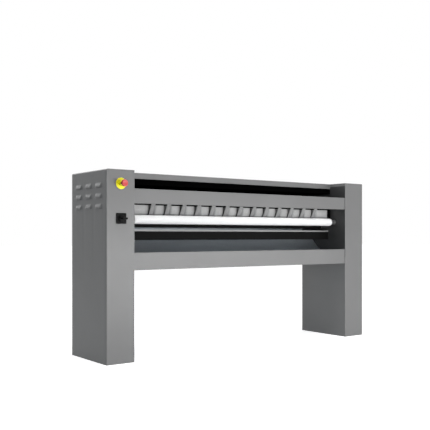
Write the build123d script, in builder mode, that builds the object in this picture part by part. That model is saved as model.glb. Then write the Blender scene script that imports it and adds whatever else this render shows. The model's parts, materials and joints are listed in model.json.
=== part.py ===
from build123d import *
import os
from math import acos, asin, atan2, cos, degrees, hypot, radians, sin

os.makedirs("parts", exist_ok=True)

# Flatwork ironer with a padded roll, a heated chest behind it and two pedestals.
# X runs along the roll, +Y to the rear, +Z up. The origin is on the floor, in the
# middle of the four floor anchor holes. Every "setback" is measured from the front
# face of the pedestals, every "height" from the floor and every "drop" down from the
# top of the machine. Depth shares are of the overall depth. Lengths are millimetres.

# Driving dimensions
overall_width = 2050.0
overall_depth = 437.0
overall_height = 1080.0
pedestal_width = 175.0

# Stock and fits
sheet = 2.0
frame_plate = 4.0
clearance = 0.3
running_fit = 0.05
hole_clearance = 0.4
overrun = 1.0

front_y = -overall_depth / 2
rear_y = overall_depth / 2
side_x = overall_width / 2
wall_x = side_x - pedestal_width
frame_outer_x = wall_x + frame_plate
panel_top = overall_height - sheet
rear_inner_y = rear_y - sheet
low_corner = (Align.MIN, Align.MIN)
top_corner = (Align.MIN, Align.MAX)
mid_low = (Align.CENTER, Align.MIN)

# Pedestals
front_return = 15.0
seam = 1.4
bend_radius = 1.5
cap_round = 8.0
cap_lip = 2.0
base_thickness = 6.0
anchor_radius = 6.5
anchor_inset = 60.0
anchor_x = side_x - pedestal_width / 2
anchor_y = overall_depth / 2 - anchor_inset
cap_low = overall_height - cap_round - cap_lip

# Pressed louvres of the left side panel
louvre_width = 84.0
louvre_height = 30.0
louvre_depth = 7.0
louvre_nose_width = 60.0
louvre_nose_height = 5.0
louvre_wall = 1.2
louvre_rows = 3
louvre_columns = 3
louvre_pitch_depth_share = 0.28078
louvre_setback_depth_share = 0.22197
louvre_row_pitch = 58.7
louvre_drop = 216.3

louvre_column_pitch = louvre_pitch_depth_share * overall_depth
louvre_first_setback = louvre_setback_depth_share * overall_depth
louvre_low_height = overall_height - louvre_drop

# Front rails
rail_recess = 4.0
rail_flange = 26.0
upper_rail_drop = 185.5
upper_rail_height = 82.5
lower_rail_drop = 564.0
lower_rail_height = 100.0

upper_rail_low = overall_height - upper_rail_drop
lower_rail_low = overall_height - lower_rail_drop
rail_y = front_y + rail_recess
rail_inner_y = rail_y + sheet

# Roll shield between the roll and the tapes, behind the upper rail
roll_shield_gap = 1.5
roll_shield_drop = 2.0
roll_shield_height = 32.0
roll_shield_fold = 12.0
roll_shield_end_width = 29.0
roll_shield_end_drop = 62.0

# Padded roll
roll_setback_depth_share = 0.54462
roll_drop = 200.0
roll_radius = 90.0
crease_depth = 14.0
end_round = 5.0
roll_tube_radius = 68.0
roll_tube_wall = 4.0
roll_end_gap = 10.0
roll_flange_thickness = 10.0
roll_flange_inset = 6.0
journal_radius = 17.5
bulge_shape_shares = ((0.0, 0.0), (0.1, 0.74), (0.3, 1.0), (0.62, 0.86), (0.87, 0.48), (1.0, 0.0))
end_bulge_shape_shares = bulge_shape_shares[2:]
rising_shape_shares = bulge_shape_shares[:3]

roll_y = front_y + roll_setback_depth_share * overall_depth
roll_z = overall_height - roll_drop
roll_shield_y = roll_y - roll_radius - roll_shield_gap
crease_radius = roll_radius - crease_depth
roll_half = wall_x - roll_end_gap
journal_inner_x = roll_half - roll_flange_inset - 2 * roll_flange_thickness
roll_centre = (roll_y, roll_z)
roll_axis = Axis((0, roll_y, roll_z), (1, 0, 0))
roll_plane = Plane(origin=(0, roll_y, roll_z), x_dir=(1, 0, 0), z_dir=(0, -1, 0))

# Guide tapes and the roller that turns them back behind the upper rail
tape_count = 13
tape_pitch_roll_share = 0.06637
tape_width = 28.0
tape_thickness = 1.6
tape_left_gap = 6.0
tape_right_gap = 1.0
tape_set_over = 29.0
tape_roller_before_roll = 113.0
tape_roller_above_roll = 70.0
tape_roller_radius = 12.0
tape_journal_radius = 8.0
tape_bush_wall = 4.0
tape_bush_flange = 5.0
tape_bush_flange_thickness = 3.0

tape_roller_centre = (roll_y - tape_roller_before_roll, roll_z + tape_roller_above_roll)
tape_pitch = tape_pitch_roll_share * 2 * roll_half
tape_centres = [
    tape_set_over + tape_pitch * (index - (tape_count - 1) / 2) for index in range(tape_count)
]
crease_left = tape_width / 2 + tape_left_gap
crease_right = tape_width / 2 + tape_right_gap
bulge_width = tape_pitch - crease_left - crease_right

# Roll bearings
bearing_flange = 90.0
bearing_flange_thickness = 10.0
bearing_boss_radius = 34.0
bearing_boss_length = 16.0
bearing_bolt_spacing = 66.0
bearing_hole_margin = 8.0
bearing_corner = 8.0

bearing_boss_x = frame_outer_x + bearing_flange_thickness
bearing_end_x = bearing_boss_x + bearing_boss_length

# Bolts
bolt_radius = 4.0
bolt_head_across = 13.0
bolt_head_height = 5.5
bolt_nut_height = 6.5
hex_sides = 6

# Heated chest
chest_gap = 1.2
chest_plate_thickness = 10.0
chest_layer_gap = 0.2
chest_insulation_thickness = 14.4
chest_front_angle = 256.0
chest_rear_angle = 415.0
chest_end_plate = 5.0
chest_end_gap = 17.0
heater_count = 7
heater_radius = 4.0
heater_depth = 3.0
heater_angle_margin = 14.0
chest_pin_radius = 7.0
chest_pin_length = 30.0
chest_pin_depth = 22.0
chest_pin_angles = (300.0, 390.0)
chest_travel = 15.0
chest_travel_angle = -30.0
chest_slot_gap = 0.5

chest_inner = roll_radius + chest_gap
chest_plate_outer = chest_inner + chest_plate_thickness
insulation_inner = chest_plate_outer + chest_layer_gap
insulation_outer = insulation_inner + chest_insulation_thickness
chest_cover_inner = insulation_outer + chest_layer_gap
chest_outer = chest_cover_inner + sheet
chest_end_x = wall_x - chest_end_gap
chest_half = chest_end_x - chest_end_plate

# Press actuators on the lower chest pins
press_rod_radius = 6.0
press_rod_length = 62.0
press_body_radius = 16.0
press_body_start = 36.0
press_rear_gap = 18.0
press_bore_depth = 64.0
press_rod_inset = 8.0
press_foot_width = 26.0

# Feed roller with its arms
feed_setback_depth_share = 0.2357
feed_drop = 274.0
feed_radius = 26.0
feed_tube_radius = 20.0
feed_tube_wall = 3.0
feed_end_gap = 49.0
feed_neck = 14.0
feed_axle_radius = 8.0
feed_collar_radius = 17.0
feed_collar_gap = 9.0
feed_collar_wall_gap = 1.0
feed_bearing_length = 12.0
arm_length = 120.0
arm_thickness = 6.0
arm_side_gap = 1.0
arm_eye_radius = 14.0
arm_lift_angle = 6.0
arm_slot_gap = 1.5
pivot_radius = 6.0
pivot_head_radius = 10.0
pivot_head_thickness = 3.0
axle_overhang = 4.0

feed_y = front_y + feed_setback_depth_share * overall_depth
feed_height = overall_height - feed_drop
feed_centre = (feed_y, feed_height)
feed_half = wall_x - feed_end_gap
feed_tube_half = feed_half + feed_neck
pivot_centre = (feed_y + arm_length, feed_height)
arm_inner_x = frame_outer_x + arm_side_gap
arm_outer_x = arm_inner_x + arm_thickness
axle_half = arm_outer_x + axle_overhang
arm_rise = arm_length * sin(radians(arm_lift_angle))

# Limit switches over the arms
limit_width = 16.0
limit_depth = 30.0
limit_height = 34.0
limit_plunger_radius = 3.0
limit_plunger_length = 6.0
limit_gap = 1.5

# Feed shelf, apron, trough and covers between the pedestals
shelf_setback_depth_share = 0.37757
shelf_drop = 332.5
shelf_nose = 9.5
shelf_rear_gap = 35.0
apron_height = 62.5
apron_return = 22.0
trough_above_rail_foot = 44.0
trough_bend_depth_share = 0.16018
trough_rear_gap = 100.0
trough_climb = 145.0
lip_setback_depth_share = 0.33181
lip_height = 34.0
shield_gap = 4.0
shield_drop = 70.0
rear_panel_drop = 580.0
beam_depth = 38.0
beam_height = 50.0
beam_wall = 3.0
beam_rise = 4.0

lip_y = front_y + lip_setback_depth_share * overall_depth
shelf_y = front_y + shelf_setback_depth_share * overall_depth
shelf_top = overall_height - shelf_drop
shelf_depth = rear_inner_y - shelf_rear_gap - shelf_y
apron_low = shelf_top - apron_height
trough_floor = lower_rail_low + trough_above_rail_foot
shield_low = overall_height - shield_drop
rear_panel_low = overall_height - rear_panel_drop
shield_y = lip_y + shield_gap
beam_y = rear_inner_y - beam_depth
lower_beam_low = rear_panel_low + beam_rise
upper_beam_low = shield_low + sheet

# Drive
motor_below_roll = 301.0
motor_set_in = 57.0
pulley_width = 18.0
pulley_cheek = 3.0
pulley_rim = 6.0
roll_pulley_radius = 80.0
motor_pulley_radius = 30.0
pulley_inset = 50.0
belt_thickness = 5.0
belt_side_gap = 0.8
shaft_radius = 10.0
shaft_seat = 30.0
gearbox_width = 70.0
gearbox_depth = 90.0
gearbox_height = 100.0
motor_radius = 45.0
motor_height = 104.0
motor_foot = 100.0
motor_foot_thickness = 6.0
bracket_thickness = 6.0
bracket_depth = 120.0
bracket_upright = 110.0

motor_axis_height = roll_z - motor_below_roll
motor_axis = (roll_y, motor_axis_height)
motor_x = -(side_x - motor_set_in)
gearbox_face_x = motor_x + gearbox_width / 2
pulley_outer_x = -(frame_outer_x + pulley_inset)
pulley_low_x = pulley_outer_x - pulley_width
roll_groove_radius = roll_pulley_radius - pulley_rim
motor_groove_radius = motor_pulley_radius - pulley_rim
belt_width = pulley_width - 2 * pulley_cheek - 2 * belt_side_gap
gearbox_low = motor_axis_height - gearbox_height / 2
motor_low = gearbox_low - motor_height
bracket_top = motor_low - motor_foot_thickness
left_journal_x = -pulley_low_x + clearance

# Emergency stop and main switch on the left front panel
stop_inset = 88.3
stop_drop = 78.0
stop_x = -(side_x - stop_inset)
stop_height = overall_height - stop_drop
stop_disc_radius = 32.0
stop_disc_thickness = 2.0
stop_collar_radius = 14.0
stop_collar_length = 10.0
stop_barrel_radius = 11.0
stop_barrel_length = 14.0
stop_stem_radius = 8.0
stop_stem_inside = 22.0
stop_head_radius = 20.0
stop_head_back = 34.0
stop_head_length = 15.0
stop_spigot_radius = 5.0
stop_spigot_length = 8.0
stop_head_round = 6.0
stop_block_size = 38.0
stop_block_depth = 42.0

switch_inset = 89.4
switch_drop = 272.6
switch_x = -(side_x - switch_inset)
switch_height = overall_height - switch_drop
switch_plate_width = 62.0
switch_plate_height = 60.0
switch_plate_thickness = 6.0
switch_corner = 4.0
knob_base_radius = 19.0
knob_base_length = 10.0
knob_length = 22.0
knob_bar_width = 13.0
knob_bar_front = 24.0
knob_bar_back = 13.0
knob_round = 2.0
spindle_radius = 4.0
spindle_length = 24.0
switch_body_size = 46.0
switch_body_depth = 44.0

# Electrical plate in the right pedestal
plate_standoff = 12.0
standoff_radius = 5.0
plate_drop = 730.0
plate_height = 330.0
plate_rear_gap = 85.0
plate_depth = 240.0
standoff_inset = 15.0
rail_strip_height = 35.0
rail_strip_thickness = 7.0
upper_strip_share = 0.72
lower_strip_share = 0.28
contactor_width = 45.0
contactor_height = 80.0
contactor_depth = 60.0
contactor_count = 3
contactor_pitch = 62.0
terminal_width = 180.0
terminal_height = 45.0
terminal_depth = 42.0
thermostat_size = 55.0
thermostat_depth = 34.0

plate_low = overall_height - plate_drop
plate_y = rear_inner_y - plate_rear_gap - plate_depth

# Cable gland in the right rear panel
gland_height = 120.0
gland_bore = 5.0
gland_thread_radius = 10.0
gland_nut_across = 24.0
gland_nut_thickness = 6.0
gland_dome_radius = 10.5
gland_dome_length = 14.0
gland_inside = 10.0

# Screws of the rear panels
screw_radius = 2.0
screw_head_radius = 4.5
screw_head_height = 1.8
screw_length = 7.0
screw_inset = 9.0
screw_rows = 5
middle_screw_count = 8


def section_at(x):
    """Plane across the machine at x, drawn in (y, z)."""
    return Plane.YZ.offset(x)


def before_front(distance):
    """Plane parallel to the front faces, the distance before them, drawn in (x, z)."""
    return Plane.XZ.offset(distance - front_y)


def side_span(sign, inner, outer):
    """Lowest x and width of what lies from inner to outer on one side."""
    return (inner if sign > 0 else -outer), outer - inner


def capped_outline(sign, inset):
    """Top of a pedestal seen from the front, down to the lip of its cap, in (x, z)."""
    top = overall_height - inset
    outer = side_x - inset
    turn = cap_round - inset
    turn_x, turn_z = outer - turn, top - turn
    with BuildLine() as outline:
        Polyline(
            (sign * turn_x, top),
            (sign * wall_x, top),
            (sign * wall_x, cap_low),
            (sign * outer, cap_low),
            (sign * outer, turn_z),
        )
        ThreePointArc(
            (sign * outer, turn_z),
            (sign * (turn_x + turn * cos(radians(45))), turn_z + turn * sin(radians(45))),
            (sign * turn_x, top),
        )
    return outline.edges()


def polar_point(centre, radius, angle):
    """Point of a section on a circle, at an angle in degrees from +Y towards +Z."""
    return (
        centre[0] + radius * cos(radians(angle)),
        centre[1] + radius * sin(radians(angle)),
    )


def ring_sector(centre, inner, outer, start, end):
    """Edges of part of a ring between two angles."""
    middle = (start + end) / 2
    with BuildLine() as outline:
        ThreePointArc(
            polar_point(centre, outer, start),
            polar_point(centre, outer, middle),
            polar_point(centre, outer, end),
        )
        Line(polar_point(centre, outer, end), polar_point(centre, inner, end))
        ThreePointArc(
            polar_point(centre, inner, end),
            polar_point(centre, inner, middle),
            polar_point(centre, inner, start),
        )
        Line(polar_point(centre, inner, start), polar_point(centre, outer, start))
    return outline.edges()


def band_loop(centre_a, radius_a, centre_b, radius_b):
    """Edges of a closed band pulled round two circles."""
    along = (centre_b[0] - centre_a[0], centre_b[1] - centre_a[1])
    heading = degrees(atan2(along[1], along[0]))
    lean = degrees(acos((radius_a - radius_b) / hypot(*along)))
    a_left = polar_point(centre_a, radius_a, heading + lean)
    a_right = polar_point(centre_a, radius_a, heading - lean)
    b_left = polar_point(centre_b, radius_b, heading + lean)
    b_right = polar_point(centre_b, radius_b, heading - lean)
    with BuildLine() as outline:
        Line(a_left, b_left)
        ThreePointArc(b_left, polar_point(centre_b, radius_b, heading), b_right)
        Line(b_right, a_right)
        ThreePointArc(a_right, polar_point(centre_a, -radius_a, heading), a_left)
    return outline.edges()


def bulge_points(start, shape):
    """Outline points of one bulge of the roll cover that starts at x, as (x, radius)."""
    return [
        (start + along * bulge_width, crease_radius + up * crease_depth) for along, up in shape
    ]


# Places of the bolts that tie the cross members to the inner frames, in (y, z)
rail_bolt_y = (rail_inner_y + rail_y + rail_flange) / 2
rail_bolt_inset = 20.0
frame_bolt_places = [
    (rail_bolt_y, upper_rail_low + rail_bolt_inset),
    (rail_bolt_y, upper_rail_low + upper_rail_height - rail_bolt_inset),
    (rail_bolt_y, lower_rail_low + rail_bolt_inset),
    (rail_bolt_y, lower_rail_low + lower_rail_height - rail_bolt_inset),
    (beam_y + beam_depth / 2, lower_beam_low + beam_height / 2),
    (beam_y + beam_depth / 2, upper_beam_low + beam_height / 2),
]
bearing_bolt_places = [
    (roll_y + y_sign * bearing_bolt_spacing / 2, roll_z + z_sign * bearing_bolt_spacing / 2)
    for y_sign in (-1, 1)
    for z_sign in (-1, 1)
]
bolt_hole_radius = bolt_radius + hole_clearance
chest_pin_radial = chest_inner + chest_pin_depth
chest_pin_places = [polar_point(roll_centre, chest_pin_radial, angle) for angle in chest_pin_angles]
pin_end_x = chest_end_x + chest_pin_length + chest_end_gap
travel_y = cos(radians(chest_travel_angle))
travel_z = sin(radians(chest_travel_angle))

# Pedestal pieces, once for each side
screw_places = []
for row in range(screw_rows):
    screw_z = base_thickness + screw_inset + row * (panel_top - base_thickness - 2 * screw_inset) / (
        screw_rows - 1
    )
    for sign in (-1, 1):
        screw_places.append((sign * (wall_x + screw_inset + frame_plate), screw_z))
        screw_places.append((sign * (side_x - screw_inset - sheet), screw_z))
middle_screws = []
for index in range(middle_screw_count):
    screw_x = -wall_x + screw_inset + index * (2 * wall_x - 2 * screw_inset) / (middle_screw_count - 1)
    middle_screws.append((screw_x, rear_panel_low + screw_inset + sheet))
    middle_screws.append((screw_x, upper_beam_low + beam_height / 2))
middle_screws.sort()

for side, sign in (("left", -1), ("right", 1)):
    # Inner frame: the side wall that carries the roll, the rollers, the chest and the
    # rails, with the riveted stud that the guard arm turns on
    low_x, width = side_span(sign, wall_x, frame_outer_x)
    with BuildPart() as inner_frame:
        with BuildSketch(section_at(low_x)):
            with Locations((front_y + sheet, 0)):
                Rectangle(overall_depth - 2 * sheet, panel_top, align=low_corner)
            with Locations(roll_centre):
                Circle(journal_radius + bearing_hole_margin, mode=Mode.SUBTRACT)
            with Locations(tape_roller_centre):
                Circle(tape_journal_radius + tape_bush_wall, mode=Mode.SUBTRACT)
            with Locations((feed_y, feed_height + arm_rise / 2)):
                SlotCenterToCenter(
                    arm_rise,
                    2 * (feed_axle_radius + arm_slot_gap),
                    rotation=90,
                    mode=Mode.SUBTRACT,
                )
            for place in chest_pin_places:
                middle = (
                    place[0] + travel_y * chest_travel / 2,
                    place[1] + travel_z * chest_travel / 2,
                )
                with Locations(middle):
                    SlotCenterToCenter(
                        chest_travel,
                        2 * (chest_pin_radius + chest_slot_gap),
                        rotation=chest_travel_angle,
                        mode=Mode.SUBTRACT,
                    )
            with Locations(*frame_bolt_places, *bearing_bolt_places):
                Circle(bolt_hole_radius, mode=Mode.SUBTRACT)
        extrude(amount=width)
        stud_x, stud_width = side_span(sign, frame_outer_x, arm_outer_x + clearance)
        with BuildSketch(section_at(stud_x)):
            with Locations(pivot_centre):
                Circle(pivot_radius)
        extrude(amount=stud_width)
        head_x = arm_outer_x + clearance
        stud_x, stud_width = side_span(sign, head_x, head_x + pivot_head_thickness)
        with BuildSketch(section_at(stud_x)):
            with Locations(pivot_centre):
                Circle(pivot_head_radius)
        extrude(amount=stud_width)
    inner_frame.part.label = f"{side}_inner_frame"
    export_step(inner_frame.part, f"parts/{side}_inner_frame.step")

    # Front panel, folded round the outer corner
    low_x, width = side_span(sign, wall_x, side_x)
    return_x, return_width = side_span(sign, side_x - sheet, side_x)
    with BuildPart() as front_panel:
        with BuildSketch(Plane.XY):
            with Locations((low_x, front_y)):
                Rectangle(width, sheet, align=low_corner)
            with Locations((return_x, front_y)):
                Rectangle(return_width, front_return, align=low_corner)
        extrude(amount=cap_low)
        with BuildSketch(before_front(0)):
            make_face(capped_outline(sign, sheet))
        extrude(amount=-sheet)
        front_edges = front_panel.edges().filter_by(Axis.Z).group_by(Axis.Y)[0]
        fillet(front_edges.sort_by(SortBy.LENGTH)[-2:], bend_radius)
        if side == "left":
            with BuildSketch(before_front(overrun)):
                with Locations((stop_x, stop_height)):
                    Circle(stop_barrel_radius + hole_clearance)
                with Locations((switch_x, switch_height)):
                    Circle(spindle_radius + hole_clearance)
            extrude(amount=-(sheet + 2 * overrun), mode=Mode.SUBTRACT)
    front_panel.part.label = f"{side}_front_panel"
    export_step(front_panel.part, f"parts/{side}_front_panel.step")

    # Outer side panel, with pressed louvres on the left
    panel_x, panel_width = side_span(sign, side_x - sheet, side_x)
    panel_front_y = front_y + front_return + seam
    outer_plane = Plane(origin=(sign * side_x, 0, 0), x_dir=(0, sign, 0), z_dir=(sign, 0, 0))
    with BuildPart() as side_panel:
        with BuildSketch(section_at(panel_x)):
            with Locations((panel_front_y, 0)):
                Rectangle(rear_inner_y - panel_front_y, cap_low, align=low_corner)
        extrude(amount=panel_width)
        louvre_places = [
            (
                sign * (front_y + louvre_first_setback + column * louvre_column_pitch),
                louvre_low_height + row * louvre_row_pitch,
            )
            for column in range(louvre_columns)
            for row in range(louvre_rows)
            if side == "left"
        ]
        for place in louvre_places:
            with BuildSketch(outer_plane):
                with Locations(place):
                    Rectangle(louvre_width, louvre_height, align=mid_low)
            with BuildSketch(outer_plane.offset(louvre_depth)):
                with Locations(place):
                    Rectangle(louvre_nose_width, louvre_nose_height, align=mid_low)
            loft()
            open_place = (place[0], place[1] - overrun / 2)
            with BuildSketch(outer_plane.offset(-sheet - overrun)):
                with Locations(open_place):
                    Rectangle(
                        louvre_width - 2 * louvre_wall, louvre_height - louvre_wall, align=mid_low
                    )
            with BuildSketch(outer_plane.offset(louvre_depth - louvre_wall)):
                with Locations(open_place):
                    Rectangle(
                        louvre_nose_width - 2 * louvre_wall,
                        louvre_nose_height - louvre_wall,
                        align=mid_low,
                    )
            loft(mode=Mode.SUBTRACT)
    side_panel.part.label = f"{side}_side_panel"
    export_step(side_panel.part, f"parts/{side}_side_panel.step")

# Base plates with the floor anchor holes
with BuildPart() as base_plates:
    for sign in (-1, 1):
        low_x, width = side_span(sign, frame_outer_x, side_x - sheet)
        with BuildSketch(Plane.XY):
            with Locations((low_x, front_y + sheet)):
                Rectangle(width, overall_depth - 2 * sheet, align=low_corner)
            with Locations((sign * anchor_x, anchor_y), (sign * anchor_x, -anchor_y)):
                Circle(anchor_radius, mode=Mode.SUBTRACT)
        extrude(amount=base_thickness)
base_plates.part.label = "base_plates"
export_step(base_plates.part, "parts/base_plates.step")

# Rear panels of the pedestals, with their screw holes and the hole of the cable gland
with BuildPart() as pedestal_rear_panels:
    with BuildSketch(Plane.XZ.offset(-rear_y)):
        with Locations((-side_x, 0), (wall_x, 0)):
            Rectangle(pedestal_width, cap_low, align=low_corner)
        for sign in (-1, 1):
            make_face(capped_outline(sign, sheet))
        with Locations(*screw_places):
            Circle(screw_radius + hole_clearance, mode=Mode.SUBTRACT)
        with Locations((anchor_x, gland_height)):
            Circle(gland_thread_radius + hole_clearance, mode=Mode.SUBTRACT)
    extrude(amount=sheet)
pedestal_rear_panels.part.label = "pedestal_rear_panels"
export_step(pedestal_rear_panels.part, "parts/pedestal_rear_panels.step")

# Top caps, rolled down over the outer sides
with BuildPart() as top_caps:
    for sign in (-1, 1):
        with BuildSketch(before_front(0)):
            make_face(capped_outline(sign, 0))
            make_face(capped_outline(sign, sheet), mode=Mode.SUBTRACT)
        extrude(amount=-overall_depth)
top_caps.part.label = "top_caps"
export_step(top_caps.part, "parts/top_caps.step")

# Upper and lower front rails: channels open to the rear, closed by drilled end plates
rails = (
    ("upper_front_rail", upper_rail_low, upper_rail_height),
    ("lower_front_rail", lower_rail_low, lower_rail_height),
)
for label, low, height in rails:
    with BuildPart() as rail:
        with BuildSketch(section_at(-wall_x)):
            with Locations((rail_y, low)):
                Rectangle(sheet, height, align=low_corner)
                Rectangle(rail_flange, sheet, align=low_corner)
            with Locations((rail_y, low + height)):
                Rectangle(rail_flange, sheet, align=top_corner)
        extrude(amount=2 * wall_x)
        bends = rail.edges().filter_by(Axis.X).filter_by_position(Axis.Y, rail_y, rail_y)
        fillet(bends, bend_radius)
        for end_x in (-wall_x, wall_x - sheet):
            with BuildSketch(section_at(end_x)):
                with Locations((rail_y, low)):
                    Rectangle(rail_flange, height, align=low_corner)
                with Locations(*[place for place in frame_bolt_places if low < place[1] < low + height]):
                    Circle(bolt_hole_radius, mode=Mode.SUBTRACT)
            extrude(amount=sheet)
    rail.part.label = label
    export_step(rail.part, f"parts/{label}.step")

# Black shield in front of the roll, with the tapes passing before it: a strip from wall to wall
# that is folded forward on top, and whose ends reach down over the gaps beside the roll
roll_shield_low = upper_rail_low - roll_shield_drop
roll_shield_top = roll_shield_low + roll_shield_height
with BuildPart() as roll_shield:
    with BuildSketch(section_at(-wall_x)):
        with Locations((roll_shield_y - sheet, roll_shield_low)):
            Rectangle(sheet, roll_shield_height, align=low_corner)
        with Locations((roll_shield_y - roll_shield_fold, roll_shield_top)):
            Rectangle(roll_shield_fold, sheet, align=top_corner)
    extrude(amount=2 * wall_x)
    for sign in (-1, 1):
        low_x, width = side_span(sign, wall_x - roll_shield_end_width, wall_x)
        with BuildSketch(section_at(low_x)):
            with Locations((roll_shield_y - sheet, roll_shield_top)):
                Rectangle(sheet, roll_shield_height + roll_shield_end_drop, align=top_corner)
        extrude(amount=width)
roll_shield.part.label = "roll_shield"
export_step(roll_shield.part, "parts/roll_shield.step")

# Roll: tube, journals on their end flanges, and the padding that bulges between the tapes
with BuildPart() as roll_tube:
    with BuildSketch(section_at(-roll_half)):
        with Locations(roll_centre):
            Circle(roll_tube_radius)
            Circle(roll_tube_radius - roll_tube_wall, mode=Mode.SUBTRACT)
    extrude(amount=2 * roll_half)
roll_tube.part.label = "roll_tube"
export_step(roll_tube.part, "parts/roll_tube.step")

flange_outer_x = roll_half - roll_flange_inset
with BuildPart() as roll_journals:
    for low_x in (-flange_outer_x, flange_outer_x - roll_flange_thickness):
        with BuildSketch(section_at(low_x)):
            with Locations(roll_centre):
                Circle(roll_tube_radius - roll_tube_wall - running_fit)
        extrude(amount=roll_flange_thickness)
    for low_x, high_x in ((-left_journal_x, -journal_inner_x), (journal_inner_x, bearing_end_x)):
        with BuildSketch(section_at(low_x)):
            with Locations(roll_centre):
                Circle(journal_radius)
        extrude(amount=high_x - low_x)
roll_journals.part.label = "roll_journals"
export_step(roll_journals.part, "parts/roll_journals.step")

padding_inner = roll_tube_radius + running_fit
with BuildPart() as roll_padding:
    with BuildSketch(roll_plane):
        with BuildLine():
            Line((-roll_half, padding_inner), (-roll_half, roll_radius - end_round))
            RadiusArc(
                (-roll_half, roll_radius - end_round),
                (-roll_half + end_round, roll_radius),
                end_round,
            )
            first_left = tape_centres[0] - crease_left
            first_bulge = bulge_points(first_left - bulge_width, end_bulge_shape_shares)
            Line((-roll_half + end_round, roll_radius), first_bulge[0])
            Spline(*first_bulge)
            for centre in tape_centres[:-1]:
                left = centre - crease_left
                right = centre + crease_right
                Line((left, crease_radius), (right, crease_radius))
                Spline(*bulge_points(right, bulge_shape_shares))
            last_left = tape_centres[-1] - crease_left
            last_right = tape_centres[-1] + crease_right
            last_bulge = bulge_points(last_right, rising_shape_shares)
            Line((last_left, crease_radius), (last_right, crease_radius))
            Spline(*last_bulge)
            Line(last_bulge[-1], (roll_half - end_round, roll_radius))
            RadiusArc(
                (roll_half - end_round, roll_radius),
                (roll_half, roll_radius - end_round),
                end_round,
            )
            Line((roll_half, roll_radius - end_round), (roll_half, padding_inner))
            Line((roll_half, padding_inner), (-roll_half, padding_inner))
        make_face()
    revolve(axis=roll_axis)
roll_padding.part.label = "roll_padding"
export_step(roll_padding.part, "parts/roll_padding.step")

# Guide tapes: closed loops round the roll's creases and the tape roller
tape_inner = crease_radius + clearance
tape_turn = tape_roller_radius + clearance
with BuildPart() as guide_tapes:
    for centre in tape_centres:
        with BuildSketch(section_at(centre - tape_width / 2)):
            make_face(
                band_loop(
                    roll_centre,
                    tape_inner + tape_thickness,
                    tape_roller_centre,
                    tape_turn + tape_thickness,
                )
            )
            make_face(
                band_loop(roll_centre, tape_inner, tape_roller_centre, tape_turn),
                mode=Mode.SUBTRACT,
            )
        extrude(amount=tape_width)
guide_tapes.part.label = "guide_tapes"
export_step(guide_tapes.part, "parts/guide_tapes.step")

with BuildPart() as tape_roller:
    with BuildSketch(section_at(-roll_half)):
        with Locations(tape_roller_centre):
            Circle(tape_roller_radius)
    extrude(amount=2 * roll_half)
    tape_journal_x = frame_outer_x + tape_bush_flange_thickness
    with BuildSketch(section_at(-tape_journal_x)):
        with Locations(tape_roller_centre):
            Circle(tape_journal_radius)
    extrude(amount=2 * tape_journal_x)
tape_roller.part.label = "tape_roller"
export_step(tape_roller.part, "parts/tape_roller.step")

with BuildPart() as tape_roller_bushes:
    for sign in (-1, 1):
        low_x, width = side_span(sign, wall_x, frame_outer_x)
        flange_x, flange_width = side_span(sign, frame_outer_x, tape_journal_x)
        with BuildSketch(section_at(low_x)):
            with Locations(tape_roller_centre):
                Circle(tape_journal_radius + tape_bush_wall)
                Circle(tape_journal_radius + running_fit, mode=Mode.SUBTRACT)
        extrude(amount=width)
        with BuildSketch(section_at(flange_x)):
            with Locations(tape_roller_centre):
                Circle(tape_journal_radius + tape_bush_wall + tape_bush_flange)
                Circle(tape_journal_radius + running_fit, mode=Mode.SUBTRACT)
        extrude(amount=flange_width)
tape_roller_bushes.part.label = "tape_roller_bushes"
export_step(tape_roller_bushes.part, "parts/tape_roller_bushes.step")

# Flange bearings of the roll, on the pedestal side of the inner frames
with BuildPart() as roll_bearings:
    for sign in (-1, 1):
        low_x, width = side_span(sign, frame_outer_x, bearing_boss_x)
        boss_x, boss_width = side_span(sign, bearing_boss_x, bearing_end_x)
        with BuildSketch(section_at(low_x)):
            with Locations(roll_centre):
                RectangleRounded(bearing_flange, bearing_flange, bearing_corner)
                Circle(journal_radius + running_fit, mode=Mode.SUBTRACT)
            with Locations(*bearing_bolt_places):
                Circle(bolt_hole_radius, mode=Mode.SUBTRACT)
        extrude(amount=width)
        with BuildSketch(section_at(boss_x)):
            with Locations(roll_centre):
                Circle(bearing_boss_radius)
                Circle(journal_radius + running_fit, mode=Mode.SUBTRACT)
        extrude(amount=boss_width)
roll_bearings.part.label = "roll_bearings"
export_step(roll_bearings.part, "parts/roll_bearings.step")

# Bolts with nuts: bearings to frames, and rails and beams to frames
bolt_sets = (
    (bearing_bolt_places, bearing_boss_x, wall_x),
    (frame_bolt_places[:4], frame_outer_x, wall_x - sheet),
    (frame_bolt_places[4:], frame_outer_x, wall_x - beam_wall),
)
with BuildPart() as frame_bolts:
    for places, head_x, nut_x in bolt_sets:
        for sign in (-1, 1):
            head_low, head_width = side_span(sign, head_x, head_x + bolt_head_height)
            shank_low, shank_width = side_span(sign, nut_x - bolt_nut_height, head_x)
            nut_low, nut_width = side_span(sign, nut_x - bolt_nut_height, nut_x)
            with BuildSketch(section_at(head_low)):
                with Locations(*places):
                    RegularPolygon(bolt_head_across / 2, hex_sides, major_radius=False)
            extrude(amount=head_width)
            with BuildSketch(section_at(shank_low)):
                with Locations(*places):
                    Circle(bolt_radius)
            extrude(amount=shank_width)
            with BuildSketch(section_at(nut_low)):
                with Locations(*places):
                    RegularPolygon(bolt_head_across / 2, hex_sides, major_radius=False)
            extrude(amount=nut_width)
frame_bolts.part.label = "frame_bolts"
export_step(frame_bolts.part, "parts/frame_bolts.step")

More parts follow.
